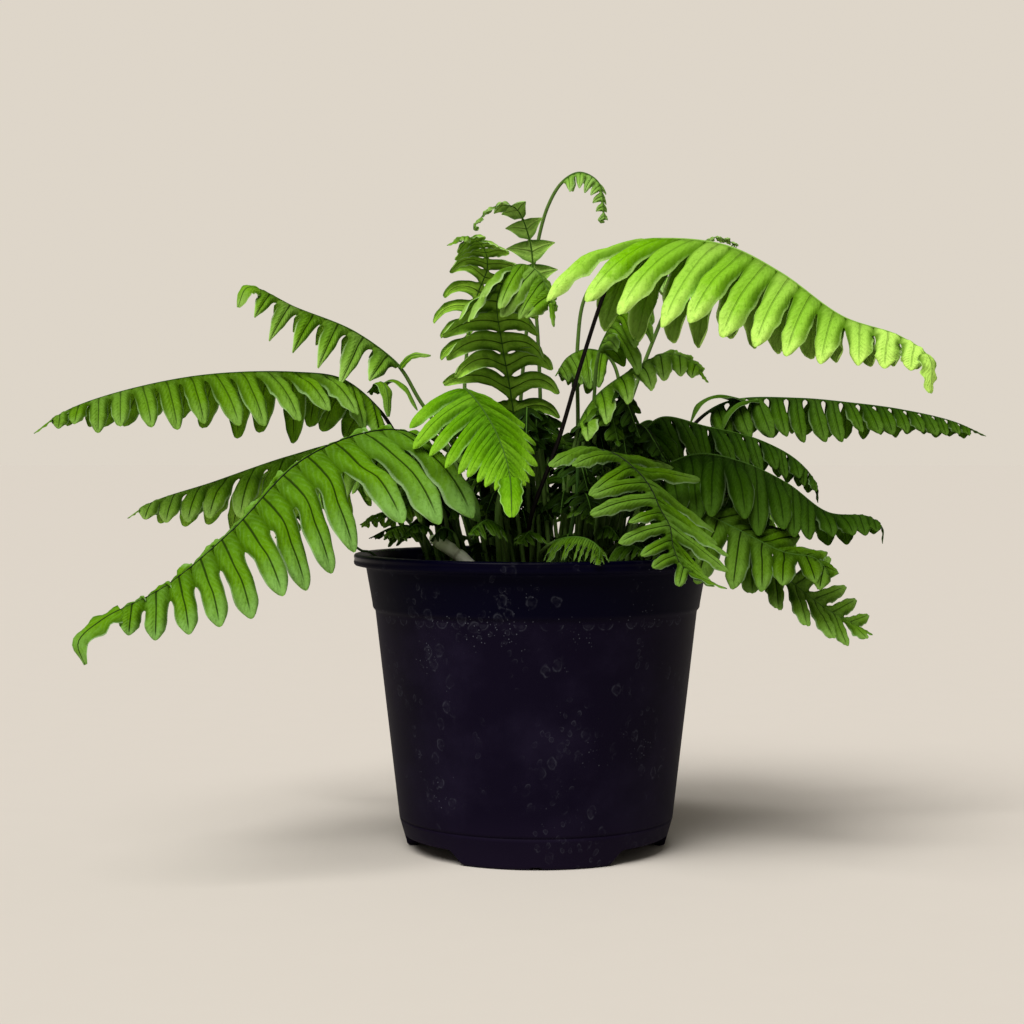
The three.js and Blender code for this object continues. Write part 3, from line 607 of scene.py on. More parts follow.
# %% The course of a lobe
ROWS_IN_WEB = 3
PAD_HALF = 0.05
HALF_THICKNESS = 0.16 * MM
GROOVE_DEPTH = 0.22 * MM
SINUS_ROUND = 0.15
LOBE_RISE = 1.1
WEB_BLEND = 0.3
BEND = 0.7
LUCK_OF_LEAN = 0.3
LUCK_OF_FALL = 0.35
LUCK_OF_REACH = 0.2
LUCK_OF_SAG = 0.5
UP = (0.0, 0.0, 1.0)

lobes = Recipe(
    "lobed_blade", Int="Pairs Rows Columns Seed", Vector="Side", Material="Leaf Stem",
    Float="Crowd Lobe Base Taper Dwindle Sweep_Low Sweep_High Droop_Low Droop_High Roll_Low Roll_High Swing "
          "Sag Curl Far_Hand Far_Sweep Far_Even Far_Sag Far_Size Neck Blade_End Length Web Waist Blunt "
          "Pointed Slim Slim_High Ripple Luck Stalk Tip")
given = lobes.given


def station(step):
    """Where along the blade a step falls. Crowd brings the lobes closer together towards the tip."""
    crowd = given("Crowd")
    return step * (1 + crowd - step * crowd)


def blade_frame(curve, grown):
    """Centre, tangent, side and face of the blade where it has grown to a share of its length."""
    neck, end = given("Neck"), given("Blade_End")
    share = mix(neck, end, grown)
    spot = lobes.step("SampleCurve", {"Curves": curve, "Factor": share}, use_all_curves=True)
    centre, tangent = Wire(spot.outputs["Position"]), Wire(spot.outputs["Tangent"])
    side = given("Side")
    across = unit(side - tangent * dot(side, tangent))
    roll = mix(given("Roll_Low"), given("Roll_High"), grown * (end - neck) / (1 - neck))
    across = lobes.result("ShaderNodeVectorRotate", {"Vector": across, "Axis": tangent, "Angle": roll})
    return centre, tangent, across, cross(across, tangent)


def growth(grown, far):
    """How much a lobe leans forward, how much it falls and how far it reaches, before any luck."""
    lean = mix(given("Sweep_Low"), given("Sweep_High"), grown ** given("Swing"))
    lean = lean * (1 - given("Far_Even") * far) + given("Far_Sweep") * far
    fall = mix(given("Droop_Low"), given("Droop_High"), lower_of(grown * 3, 1.0))
    reach = given("Lobe") * lower_of(given("Base") + grown * LOBE_RISE, 1.0)
    reach = reach * mix(1.0, given("Far_Size"), far)
    return lean, fall, reach * (1 - grown ** given("Taper") * given("Dwindle"))


def lobe_axis(frame_at, hand, lean, fall, reach, sag, curl):
    """Foot, pull point and tip of the smooth curve that a lobe's midline follows through its bend."""
    centre, tangent, side, face = frame_at
    level = side * (hand * cosine(lean)) + tangent * sine(lean)
    way = level * cosine(fall) - face * sine(fall)
    bend = centre + unit(way - calculate("SCALE", UP, sag * 0.5)) * (reach * BEND)
    tip = bend + unit(way - calculate("SCALE", UP, sag * 1.6) + tangent * curl) * (reach * (1 - BEND))
    pull = (bend - centre * (1 - BEND) ** 2 - tip * BEND**2) * (1 / (2 * BEND * (1 - BEND)))
    return centre, pull, tip


def point_on(axis, along):
    """A point of the curve from foot to tip that bends towards the pull point."""
    foot, pull, tip = axis
    return mix(mix(foot, pull, along), mix(pull, tip, along), along)


print("the lobes' recipe takes", len(lobes.kinds), "facts")

# %% [markdown]
# A lobe has an upper side, an underside and a thin edge. So its pad is made of two grids that meet at
# their rim, with the lower one turned over. A pair of lobes takes up one step along the blade, left and
# right, and every lobe draws its luck from its own number and the frond's seed.

# %% Pads and their places
def flat_pad():
    """A closed pad: two grids that meet at their rim. Its points know their place and their side."""
    sheets = []
    for lift in (1, -1):
        grid = lobes.result("MeshGrid", {
            "Size X": 1.0, "Size Y": 1.0, "Vertices X": given("Rows") + 1,
            "Vertices Y": given("Columns") + 1})
        spot = lobes.result("InputPosition")
        along, across = spot.part("X") + 0.5, spot.part("Y") * 2
        grid = lobes.store(grid, "pad_along", along)
        grid = lobes.store(grid, "pad_across", across)
        grid = lobes.store(grid, "underside", 1.0 if lift < 0 else 0.0)
        inside = lower_of(lower_of(along, 1 - along), 1 - size_of(across))
        offset = lobes.vector(z=lower_of(inside * 1000, 1.0) * (lift * PAD_HALF))
        grid = lobes.result("SetPosition", {"Geometry": grid, "Offset": offset})
        if lift < 0:
            grid = lobes.result("FlipFaces", {"Mesh": grid})
        sheets.append(grid)
    pad = lobes.result("JoinGeometry", {"Geometry": sheets[::-1]})
    pad = lobes.result("MergeByDistance", {"Geometry": pad, "Distance": 0.0005})
    return lobes.store(pad, "pad_lift", lobes.result("InputPosition").part("Z") / PAD_HALF)


def lobe_places():
    """One point for every lobe. It knows its share of the blade, its room, its hand and its luck."""
    pairs = given("Pairs")
    points = lobes.result("Points", {"Count": pairs * 2})
    number = lobes.result("InputIndex")
    pair = calculate("FLOOR", number / 2)
    start, end = station(pair / pairs), station((pair + 1) / pairs)
    points = lobes.store(points, "lobe_share", (start + end) / 2)
    points = lobes.store(points, "lobe_room", end - start)
    points = lobes.store(points, "lobe_hand", (number - pair * 2) * 2 - 1)
    for salt, label in enumerate(("lobe_luck", "lobe_lean", "lobe_fall")):
        luck = lobes.result("FunctionNodeRandomValue", {"ID": number, "Seed": given("Seed") + salt})
        points = lobes.store(points, label, luck)
    return points


print("the first", ROWS_IN_WEB, "rows of a pad lie in the web")

# %% [markdown]
# The cuts of a real blade stop a little before the midrib, so all lobes are joined by a narrow web with
# round notches. In the web the pads meet and follow the midrib. Further out each one follows its own
# midline, with a groove over the vein, puffed halves, a wavy margin and a slight twist. Between the two
# the pads change over smoothly.

# %% From pad to lobe
def along_lobe(row):
    """The first rows of a pad lie in the web, and the others gather behind the sinus and at the tip."""
    web = given("Web")
    first = calculate("DIVIDE", ROWS_IN_WEB, given("Rows"))
    rest = (row - first) / (1 - first)
    gathered = rest - sine(rest * math.tau) * 0.07
    in_web = is_less(row, first + 0.001)
    return mix(web + gathered * (1 - web), row / first * web, in_web)


def lobe_outline(along, across, grown, luck):
    """Half width of a lobe as a share of half its room: whole in the web, then a strap or a tongue."""
    web = given("Web")
    past = higher_of((along - web) / SINUS_ROUND, 0.0)
    opening = (1 - (1 - lower_of(past, 1.0)) ** 2) ** 0.5
    strap = (1.12 - along ** given("Blunt")) ** 0.5
    strap = strap * mix(given("Slim"), given("Slim_High"), grown)
    triangle = (1.04 - along) ** 0.85
    wavy = 1 + sine(along * 18 + luck * 40 + across * 2) * 0.035 * given("Luck")
    waist = 1 - bell(past, 1.6) * given("Waist")
    return mix(1.0, mix(strap, triangle, given("Pointed")) * wavy * waist, opening)


def bent_lobes(curve, pads):
    """Moves the points of all pads to their places on the lobes."""
    across, lift = map(lobes.attribute, ("pad_across", "pad_lift"))
    grown, room, hand = map(lobes.attribute, ("lobe_share", "lobe_room", "lobe_hand"))
    luck, leaning, falling = map(lobes.attribute, ("lobe_luck", "lobe_lean", "lobe_fall"))
    wild = given("Luck")
    far = is_more(hand * given("Far_Hand"), 0.0)
    sag = mix(given("Sag"), given("Far_Sag"), far)
    along = along_lobe(lobes.attribute("pad_along"))
    outline = lobe_outline(along, across, grown, luck)
    body = lift * HALF_THICKNESS

    here = higher_of(grown + across * outline * room * 0.5, 0.0)
    near = blade_frame(curve, here)
    axis = lobe_axis(near, hand, *growth(here, far), sag, given("Curl") * 0.5)
    swell = sine(size_of(across) * math.pi) * 0.026 - across * across * 0.018
    crease = smooth_step(along, 0.0, 0.12) * swell * given("Lobe")
    web = point_on(axis, along) + near[3] * (crease + body)

    middle = blade_frame(curve, grown)
    lean, fall, reach = growth(grown, far)
    lean = lean + (leaning - 0.5) * wild * LUCK_OF_LEAN
    fall = fall + (falling - 0.5) * wild * LUCK_OF_FALL
    reach = reach * (1 + (luck - 0.5) * wild * LUCK_OF_REACH)
    sag = sag * (1 + (falling - 0.5) * wild * LUCK_OF_SAG)
    axis = lobe_axis(middle, hand, lean, fall, reach, sag, given("Curl") * luck)
    foot, pull, tip = axis
    half = room * given("Length") * (given("Blade_End") - given("Neck")) * 0.5 * outline
    round_off = (1 - (1 - across * across * 0.95) ** 0.5) * along**4 * half * 1.1
    heading = unit(mix(pull - foot, tip - pull, along))
    width = unit(middle[1] - heading * dot(middle[1], heading))
    top = cross(heading, width) * hand
    edge = across * across
    wave = sine(along * (13 + luck * 8) + luck * 30 + across * 1.3) * given("Ripple")
    wave = wave * smooth_step(along, 0.15, 0.5)
    twist = across * (leaning - 0.5) * along * wild
    groove = bell(across, 0.2) * (1 - along) * GROOVE_DEPTH
    lobe = point_on(axis, along) + width * (across * half) - heading * round_off
    swell = sine(size_of(across) * 2.8) * 0.28 - edge * edge * 0.55
    lobe = lobe + top * (half * (swell + wave * edge + twist) + body - groove)

    place = mix(web, lobe, smooth_step(along, given("Web"), given("Web") + WEB_BLEND))
    pads = lobes.result("SetPosition", {"Geometry": pads, "Position": place})
    free = 1 - (1 - smooth_step(along, given("Web") * 0.9, given("Web") + 0.04)) * 0.2
    spot = lobes.vector(along, across * free, grown)
    return lobes.store(pads, "leaf_place", spot)


print("lobes follow their midlines and pass into the web")

# %% [markdown]
# The blade runs out in one last lobe along the midrib itself. The stalk and the midrib are one thin tube
# that loses thickness where the blade starts. With them the recipe is whole.

# %% End lobe, stalk and the whole recipe
def end_lobe(curve, pad):
    """The blade's last lobe lies along the midrib itself."""
    along, across, lift = map(lobes.attribute, ("pad_along", "pad_across", "pad_lift"))
    neck, end = given("Neck"), given("Blade_End")
    beyond = (mix(end, 1.0, along) - neck) / (end - neck)
    centre, tangent, side, face = blade_frame(curve, beyond)
    teeth = sine(along * 24) * 0.12 * (1 - along)
    outline = (along + 0.1) ** 0.3 * (1.03 - along) ** 0.6 * 1.4 + teeth
    half = given("Tip") * outline
    edge = across * across
    wave = sine(along * 17 + across * 2) * edge * half * given("Ripple")
    place = centre + side * (across * half) + face * (half * edge * -0.3 + wave + lift * HALF_THICKNESS)
    pad = lobes.result("SetPosition", {"Geometry": pad, "Position": place})
    spot = lobes.vector(along * 0.6 + 0.3, across, along * 0 + 1)
    return lobes.store(pad, "leaf_place", spot)


def stalk_tube(curve):
    """Stalk and midrib: a tube that thins to the tip and lies half sunk in the blade."""
    share = lobes.result("SplineParameter")
    neck, thick = given("Neck"), given("Stalk")
    low = mix(thick, thick * 0.8, lower_of(share / neck, 1.0))
    radius = mix(low, thick * 0.42, smooth_step(share, neck - 0.03, neck + 0.08))
    radius = radius * (1 - smooth_step(share, neck, 1.0) * 0.6)
    ring = lobes.result("CurvePrimitiveCircle", {"Resolution": 8, "Radius": 1.0}, mode="RADIUS")
    tube = lobes.result("CurveToMesh",
                        {"Curve": curve, "Profile Curve": ring, "Scale": radius, "Fill Caps": True})
    grown = (lobes.attribute("rib_share") - neck) / (1 - neck)
    spot = lobes.vector(0.5, 0.5, grown)
    return lobes.coat(lobes.store(tube, "leaf_place", spot), "Stem")


def keep_rim_crisp(blade):
    """The two sheets of a pad meet at an edge, so their shading doesn't blend there."""
    rim = is_less(size_of(lobes.attribute("pad_lift")), 0.01)
    return lobes.result("SetShadeSmooth",
                        {"Geometry": blade, "Selection": rim, "Shade Smooth": False}, domain="EDGE")


curve = lobes.result("MeshToCurve", {"Mesh": given("Geometry")})
curve = lobes.store(curve, "rib_share", lobes.result("SplineParameter"))
pad = flat_pad()
pads = lobes.result("InstanceOnPoints", {"Points": lobe_places(), "Instance": pad})
blade = bent_lobes(curve, lobes.result("RealizeInstances", {"Geometry": pads}))
blade = lobes.result("JoinGeometry", {"Geometry": [blade, end_lobe(curve, pad)]})
blade = keep_rim_crisp(lobes.result("SetShadeSmooth", {"Geometry": lobes.coat(blade, "Leaf")}))
stem = lobes.result("SetShadeSmooth", {"Geometry": stalk_tube(curve)})
lobes.end(lobes.result("JoinGeometry", {"Geometry": [blade, stem]}))
print("the lobes' recipe has", len(lobes.tree.nodes), "nodes")

# %% [markdown]
# ## The fronds
# Every frond has its own row: where its stalk leaves the mix, the points that its midrib goes through
# (millimetres), the point where the blade starts (neck), its pairs of lobes and how they grow, lean
# (sweep), droop, sag and turn (roll, in degrees). A pair of numbers goes from the neck to the tip. The
# facts that begin with far_ are for the lobes on the side away from the viewer. The stalks stand where
# the solids' stalks stand, and the lobes were then set against the photograph one frond at a time.

# %% Facts of the fronds
USUAL = dict(leaf="mid", stalk="green", crowd=0.25, base=0.72, taper=1.7, dwindle=0.8, swing=1,
             roll=(0, 0), curl=0, far_sweep=0, far_even=0, far_sag=None, far_size=1, web=0.12, waist=0,
             slim=0.74, slim_high=None, blunt=3, pointed=0, ripple=0.18, luck=1, end=0.08, tip=0.13,
             coil=0, rows=18, columns=8)
BACK = dict(neck=2, sweep=(4, 20), droop=(30, 30), sag=0.7)
SPROUT = dict(neck=1, pairs=5, sweep=(8, 26), droop=(24, 24), sag=0.5)
FRONDS = [
    dict(name="frond_upper_left", root=(-25, 6), neck=3, leaf="upright", pairs=6, lobe=31, base=0.64,
         taper=2.4, dwindle=0.52, sweep=(23, 22), droop=(23, 30), sag=0.1, roll=(-30, -32), far_sweep=-25,
         far_sag=0.6, far_size=0.8, waist=0.25, slim=1, pointed=1, ripple=0.05, luck=0.7, end=0.17, tip=0.3,
         path=[(-36, 6, 174), (-46, 6, 195), (-55, 4, 209), (-64, 0, 224), (-83, -14, 239),
               (-108, -31, 249), (-128, -45, 257), (-132, -48, 248)]),
    dict(name="frond_left_long", root=(-31, -5), neck=2, stalk="dark", pairs=14, lobe=37, base=0.6,
         taper=2.9, dwindle=0.89, sweep=(-29, 60), swing=3, droop=(31, 35), sag=0.55, roll=(18, -10),
         far_sweep=20, far_sag=0.5, web=0.1, waist=0.15, slim=0.9, blunt=2.6, end=0.06,
         path=[(-48, -7, 165), (-63, -9, 189), (-72, -12, 203), (-88, -20, 217), (-109, -29, 220),
               (-150, -43, 218), (-188, -56, 209), (-207, -62, 201), (-219, -64, 192)]),
    dict(name="frond_left_back", root=(-37, 5), neck=2, leaf="upright", pairs=9, lobe=42, taper=2.1,
         dwindle=0.85, sweep=(3, 60), swing=0.6, droop=(16, 17), sag=1.4, roll=(0, 8), web=0.1, waist=0.2,
         slim=0.85, blunt=2.6, end=0.06,
         path=[(-47, 7, 158), (-54, 8, 175), (-63, 7, 185), (-86, 3, 189), (-115, -5, 182),
               (-149, -17, 170), (-175, -27, 161), (-185, -31, 154)]),
    dict(name="frond_left_front", root=(-24, -18), neck=1, leaf="grass", stalk="black", pairs=13, lobe=57,
         base=0.82, taper=2.9, dwindle=0.82, sweep=(-52, 36), swing=0.5, droop=(6, 20), sag=0.76,
         roll=(-4, -26), curl=0.17, far_sweep=-62, far_even=1, far_sag=0, far_size=0.42, web=0.27,
         slim=0.78, slim_high=0.78, blunt=10, luck=0.8, end=0.15, tip=0.2,
         path=[(-36, -22, 164), (-46, -27, 184), (-58, -37, 193), (-77, -52, 192), (-103, -72, 179),
               (-128, -93, 151), (-154, -109, 128), (-178, -118, 115), (-187, -121, 106), (-184, -122, 97)]),
    dict(name="frond_front_centre", root=(-14, -23), neck=2, leaf="bright", pairs=10, lobe=36, base=0.8,
         taper=1.74, dwindle=0.79, sweep=(-16, 56), droop=(16, 31), sag=0.55, roll=(-9, 0), far_sweep=-4,
         far_sag=0.22, slim=0.93, blunt=7, ripple=0.08, luck=0.3, end=0.2, tip=0.3,
         path=[(-18, -23, 165), (-29, -31, 203), (-32, -40, 212), (-25, -58, 205), (-16, -82, 190),
               (-11, -100, 174), (-10, -110, 157)]),
    dict(name="frond_mid_upright", root=(-9, 4), neck=1, leaf="upright", pairs=13, lobe=45, base=0.75,
         taper=3, dwindle=0.7, sweep=(36, 14), droop=(19, 35), sag=0.45, roll=(-2, -3), far_sag=1,
         far_size=0.55, web=0.06, slim=0.56, slim_high=1.25, blunt=2.6, luck=0.8,
         path=[(-9, 7, 160), (-9, 8, 185), (-12, 4, 212), (-16, 0, 235), (-18, -6, 255), (-10, -18, 269),
               (-1, -27, 267), (6, -34, 255), (8, -36, 240)]),
    dict(name="frond_left_upright", root=(-23, 18), neck=2, leaf="upright", pairs=10, lobe=26.5, base=0.6,
         taper=1.9, dwindle=0.77, sweep=(14, 22), droop=(0, 0), sag=0.3, far_sweep=-10, far_sag=0.8,
         web=0.06, slim=0.54, slim_high=0.9, blunt=2.4, luck=0.8,
         path=[(-32, 18, 180), (-34, 18, 209), (-33, 18, 231), (-28, 17, 258), (-23, 11, 271),
               (-25, 1, 280), (-32, -9, 283), (-41, -12, 279)]),
    dict(name="frond_young_left", root=(-2, 25), neck=2, leaf="young", pairs=7, lobe=17, base=0.7,
         taper=0.95, dwindle=0.93, sweep=(22, 30), droop=(4, 4), sag=0.2, roll=(58, 10), web=0.04,
         slim=0.9, pointed=1, ripple=0.05, luck=0.3, coil=1.3,
         path=[(2, 26, 190), (1, 28, 236), (-1, 28, 262), (-3, 26, 285), (-10, 19, 300), (-21, 11, 299),
               (-29, 5, 290)]),
    dict(name="frond_young_curl", root=(-10, 36), neck=4, leaf="young", pairs=7, lobe=11, base=1,
         sweep=(-6, 24), droop=(28, 28), sag=0.5, roll=(0, 75), web=0.16, slim=0.7, pointed=0.6, luck=0.8,
         coil=0.8,
         path=[(-8, 40, 200), (-5, 43, 240), (0, 43, 282), (6, 40, 304), (13, 38, 315), (21, 36, 319),
               (30, 34, 314), (33, 33, 297)]),
    dict(name="frond_right_high", root=(-4, -14), neck=5, leaf="fresh", stalk="lime", pairs=12, crowd=0,
         lobe=60, base=0.8, taper=1.06, dwindle=0.86, sweep=(-69, 53), swing=0.63, droop=(14, 51), sag=0.7,
         roll=(-26, 10), far_sweep=-13, far_sag=0.77, web=0.14, slim=1.06, slim_high=0.76, blunt=5,
         luck=0.7, end=0.1, tip=0.35,
         path=[(-3, -22, 151), (10, -31, 189), (20, -37, 223), (29, -43, 251), (35, -48, 266),
               (43, -55, 275), (57, -66, 276), (81, -84, 271), (102, -100, 258), (125, -116, 239),
               (146, -130, 230), (156, -137, 221), (156, -140, 207)]),
    dict(name="frond_back_curl", root=(25, 14), neck=3, leaf="young", pairs=9, lobe=11, sweep=(10, 20),
         droop=(0, 0), sag=0.1, pointed=0.7, coil=1.5,
         path=[(36, 15, 180), (48, 20, 217), (60, 21, 248), (68, 22, 268), (76, 22, 281), (85, 20, 286),
               (94, 18, 283)]),
    dict(name="frond_back_arch", root=(15, 27), neck=3, leaf="young", pairs=9, lobe=20, sweep=(8, 20),
         droop=(25, 25), sag=0.5,
         path=[(20, 31, 190), (20, 31, 236), (23, 28, 257), (30, 24, 268), (40, 18, 272), (55, 14, 270),
               (67, 9, 262), (72, 6, 248)]),
    dict(name="frond_right_upright", root=(19, 3), neck=2, pairs=6, lobe=36, base=0.7, taper=2.4,
         sweep=(34, 28), droop=(28, 34), sag=0.5, roll=(26, 30), far_sweep=-39, far_sag=0.8, far_size=0.6,
         slim=0.85,
         path=[(26, 0, 180), (27, -4, 210), (29, -10, 230), (37, -18, 246), (47, -26, 255), (56, -34, 258)]),
    dict(name="frond_right_arch", root=(9, -12), neck=1, leaf="upright", pairs=7, lobe=29, base=0.65,
         taper=1.9, dwindle=0.82, sweep=(7, 20), droop=(22, 8), sag=0.72, roll=(11, 18), far_sag=0.1,
         web=0.1, slim=0.98, pointed=0.3, luck=0.7,
         path=[(16, -18, 176), (20, -22, 197), (28, -26, 210), (45, -31, 222), (58, -34, 228),
               (69, -36, 225), (77, -38, 215)]),
    dict(name="frond_mid_dark", root=(31, 19), neck=2, pairs=4, lobe=29, sweep=(4, 16), droop=(26, 30),
         sag=0.9, slim=0.95, luck=0.6,
         path=[(35, 21, 185), (40, 23, 214), (35, 22, 229), (25, 20, 233), (15, 17, 229), (9, 15, 220)]),
    dict(name="frond_right_long", root=(35, 12), neck=3, leaf="deep", stalk="dark", pairs=16, lobe=25.5,
         base=0.69, taper=2, dwindle=0.75, sweep=(-3, 28), swing=1.1, droop=(31, 40), sag=0.77,
         roll=(0, -4), curl=0.4, web=0.02, waist=0.45, slim=0.95, blunt=4, end=0.06,
         path=[(48, 15, 156), (60, 18, 175), (70, 21, 191), (82, 25, 203), (95, 28, 209), (127, 35, 210),
               (153, 41, 208), (178, 47, 205), (206, 54, 199), (222, 56, 192)]),
    dict(name="frond_right_second", root=(28, -5), neck=1, leaf="dusk", pairs=12, lobe=29, taper=1.5,
         dwindle=0.76, sweep=(10, 25), droop=(44, 36), sag=0.87, roll=(-2, -6), curl=0.4, web=0.05,
         waist=0.25, slim=0.93,
         path=[(42, -4, 170), (48, -4, 190), (58, 0, 200), (80, 7, 196), (105, 13, 190), (124, 17, 180),
               (133, 18, 169), (134, 18, 160)]),
    dict(name="frond_right_third", root=(33, -12), neck=1, leaf="dusk", pairs=12, lobe=42, base=0.67,
         dwindle=0.88, sweep=(8, 40), swing=0.6, droop=(45, 28), sag=0.8, roll=(-3, -14), web=0.14,
         slim=1.06, blunt=4.5, ripple=0.15,
         path=[(46, -12, 156), (56, -14, 175), (73, -19, 183), (92, -25, 180), (113, -31, 170),
               (131, -35, 157), (149, -37, 155), (155, -38, 150), (155, -38, 143)]),
    dict(name="frond_right_low_front", root=(12, -27), neck=1, leaf="dim", stalk="black", pairs=10,
         lobe=38, base=0.68, taper=2.1, dwindle=0.66, sweep=(-5, 40), droop=(6, 3), sag=0.19,
         roll=(-11, -4), far_sweep=12, far_sag=0.01, far_size=1.1, web=0.1, slim=0.66, blunt=4,
         ripple=0.22, luck=1.1, end=0.16,
         path=[(18, -32, 160), (21, -41, 184), (33.6, -50, 183.5), (43.8, -58, 176), (49.5, -66, 168.5),
               (53.2, -76, 159.5), (56.6, -86, 152.5), (57.8, -96, 143), (61.4, -104, 136),
               (72.7, -112, 130), (78, -117, 128)]),
    dict(name="frond_right_low_mid", root=(24, -22), neck=1, leaf="dim", pairs=8, lobe=38, base=0.6,
         sweep=(12, 40), droop=(14, 12), sag=0.3, roll=(36, 40), far_sag=0.05, far_size=0.85, slim=0.92,
         blunt=4,
         path=[(38, -22, 143), (51, -25, 153), (68, -29, 159), (87, -37, 151), (109, -51, 140),
               (123, -57, 137), (128, -59, 129), (123, -59, 124)]),
    dict(name="frond_right_low_end", root=(40, -6), neck=3, pairs=6, lobe=33, base=0.75, taper=2.35,
         dwindle=0.71, sweep=(18, 53), swing=0.9, droop=(5, -1), sag=0.04, roll=(27, 24), far_sweep=-30,
         far_sag=0, web=0.16, blunt=4, luck=0.7, end=0.1,
         path=[(50, -8, 139), (63, -11, 149), (78, -15, 149), (93, -19, 141), (112, -25, 128),
               (130, -31, 114), (151, -37, 102)]),
    dict(name="frond_rim_feather", root=(4, -40), neck=1, leaf="dim", pairs=12, lobe=17, sweep=(-15, 50),
         droop=(40, 30), sag=0.5, web=0.3, slim=0.4, pointed=0.5, ripple=0.7,
         path=[(2, -52, 139), (8, -60, 144.5), (15, -68, 147), (22, -75, 146.5), (27, -81, 142.5),
               (26, -86, 136)]),
    dict(BACK, name="frond_back_left_low", root=(-36, 17), pairs=11, lobe=32,
         path=[(-48, 28, 160), (-62, 39, 177), (-78, 51, 183), (-98, 64, 178), (-120, 79, 162),
               (-134, 91, 140)]),
    dict(BACK, name="frond_back_left", root=(-22, 32), pairs=12, lobe=34,
         path=[(-28, 45, 170), (-35, 60, 191), (-44, 80, 201), (-56, 103, 197), (-69, 126, 178),
               (-77, 142, 150)]),
    dict(BACK, name="frond_back_centre", root=(-2, 44), pairs=12, lobe=32,
         path=[(-3, 55, 172), (-5, 66, 192), (-7, 81, 201), (-9, 102, 199), (-11, 126, 182),
               (-12, 143, 154)]),
    dict(BACK, name="frond_back_right", root=(20, 44), pairs=12, lobe=33,
         path=[(24, 57, 168), (30, 71, 189), (38, 89, 197), (48, 110, 193), (59, 130, 174), (67, 143, 147)]),
    dict(BACK, name="frond_back_right_low", root=(38, 30), pairs=11, lobe=30,
         path=[(50, 44, 160), (64, 60, 177), (80, 76, 181), (100, 92, 174), (119, 107, 155),
               (131, 118, 130)]),
    dict(SPROUT, name="sprout_left", root=(-38, -15), lobe=17,
         path=[(-40, -17, 145), (-44, -22, 160), (-54, -29, 162), (-64, -36, 154)]),
    dict(SPROUT, name="sprout_left_low", root=(-47, -4), lobe=14,
         path=[(-50, -7, 138), (-55, -13, 147), (-62, -20, 150), (-69, -27, 146)]),
    dict(SPROUT, name="sprout_front_left", root=(-12, -38), leaf="deep", lobe=14,
         path=[(-13, -43, 138), (-16, -50, 150), (-22, -59, 154), (-29, -67, 148)]),
    dict(SPROUT, name="sprout_front", root=(-3, -31), leaf="deep", lobe=12,
         path=[(-2, -37, 135), (-1, -46, 146), (-3, -56, 149), (-7, -64, 144)]),
    dict(SPROUT, name="sprout_mid_right", root=(30, -36), leaf="deep", lobe=14,
         path=[(32, -42, 133), (36, -50, 141), (42, -58, 143), (48, -66, 140)]),
    dict(SPROUT, name="sprout_right", root=(46, -20), leaf="deep", lobe=13, droop=(20, 20), sag=0.4,
         path=[(49, -24, 132), (55, -31, 141), (62, -38, 143), (69, -45, 141)]),
    dict(SPROUT, name="sprout_back_right", root=(50, 10), lobe=16, droop=(20, 20), sag=0.4,
         path=[(55, 13, 142), (63, 18, 154), (74, 24, 156), (85, 30, 150)]),
    dict(SPROUT, name="sprout_back", root=(6, 56), lobe=16, droop=(20, 20), sag=0.4,
         path=[(7, 61, 142), (9, 69, 154), (12, 80, 156), (15, 91, 150)]),
    dict(SPROUT, name="sprout_back_left", root=(-50, 12), lobe=16, droop=(20, 20), sag=0.4,
         path=[(-55, 15, 142), (-63, 20, 153), (-74, 25, 155), (-85, 30, 149)]),
]
STALK_RADIUS = 1.1 * MM
SMALLEST_TIP = 1.7 * MM
SEEDS_PER_ROW = 10
print(len(FRONDS), "fronds are described")

# %% [markdown]
# A frond then starts as a bare row of joined points, its midrib, and the recipe grows the rest on it.
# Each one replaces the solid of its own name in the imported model.

# %% Grow them
def frond_mesh(row_number, fact):
    """Grows one frond from its facts. Its row number gives its luck."""
    spec = {**USUAL, **fact}
    for unsaid, instead in (("far_sag", "sag"), ("slim_high", "slim")):
        if spec[unsaid] is None:
            spec[unsaid] = spec[instead]
    row, neck, length = midrib(spec["root"], spec["path"], spec["neck"], spec["coil"])
    run = row[-1] - row[0]
    side = Vector((run[0], run[1], 0)).normalized().cross(Vector(UP))
    last_lobe = spec["end"] * (1 - neck)
    values = {label: spec[label.lower()] for label in lobes.kinds if label.lower() in spec}
    for label in ("Sweep", "Droop", "Roll"):
        low, high = spec[label.lower()]
        values.update({label + "_Low": math.radians(low), label + "_High": math.radians(high)})
    values.update({
        "Lobe": spec["lobe"] * MM, "Far_Sweep": math.radians(spec["far_sweep"]),
        "Far_Hand": 1 if side.y > 0 else -1, "Side": side, "Neck": neck, "Blade_End": 1 - last_lobe,
        "Length": length, "Tip": max(SMALLEST_TIP, spec["tip"] * length * last_lobe),
        "Stalk": STALK_RADIUS, "Seed": SEEDS_PER_ROW * row_number,
        "Leaf": LEAF_FINISHES[spec["leaf"]], "Stem": STALK_FINISHES[spec["stalk"]]})
    return serve(lobes, new_course(spec["name"] + "_lobed", row), values)


def grow(row_number, fact):
    """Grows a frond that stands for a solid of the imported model."""
    piece = frond_mesh(row_number, fact)
    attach(piece, "root")
    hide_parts(fact["name"])
    return piece


fronds = [grow(number, fact) for number, fact in enumerate(FRONDS)]
print(len(fronds), "fronds,", sum(len(piece.data.polygons) for piece in fronds), "faces")

# %% [markdown]
# ## The pot
# A nursery pot is moulded in one shot of thin black plastic: a tapered wall, a fine line where the mould
# parts near the foot, a wider band with a soft step under it and a rolled lip. Its skirt is cut away
# between three feet so that water can run out. All of it is round, so one profile is swept round the
# axis. Only the lowest points depend on the angle: they rise where the skirt is cut away.

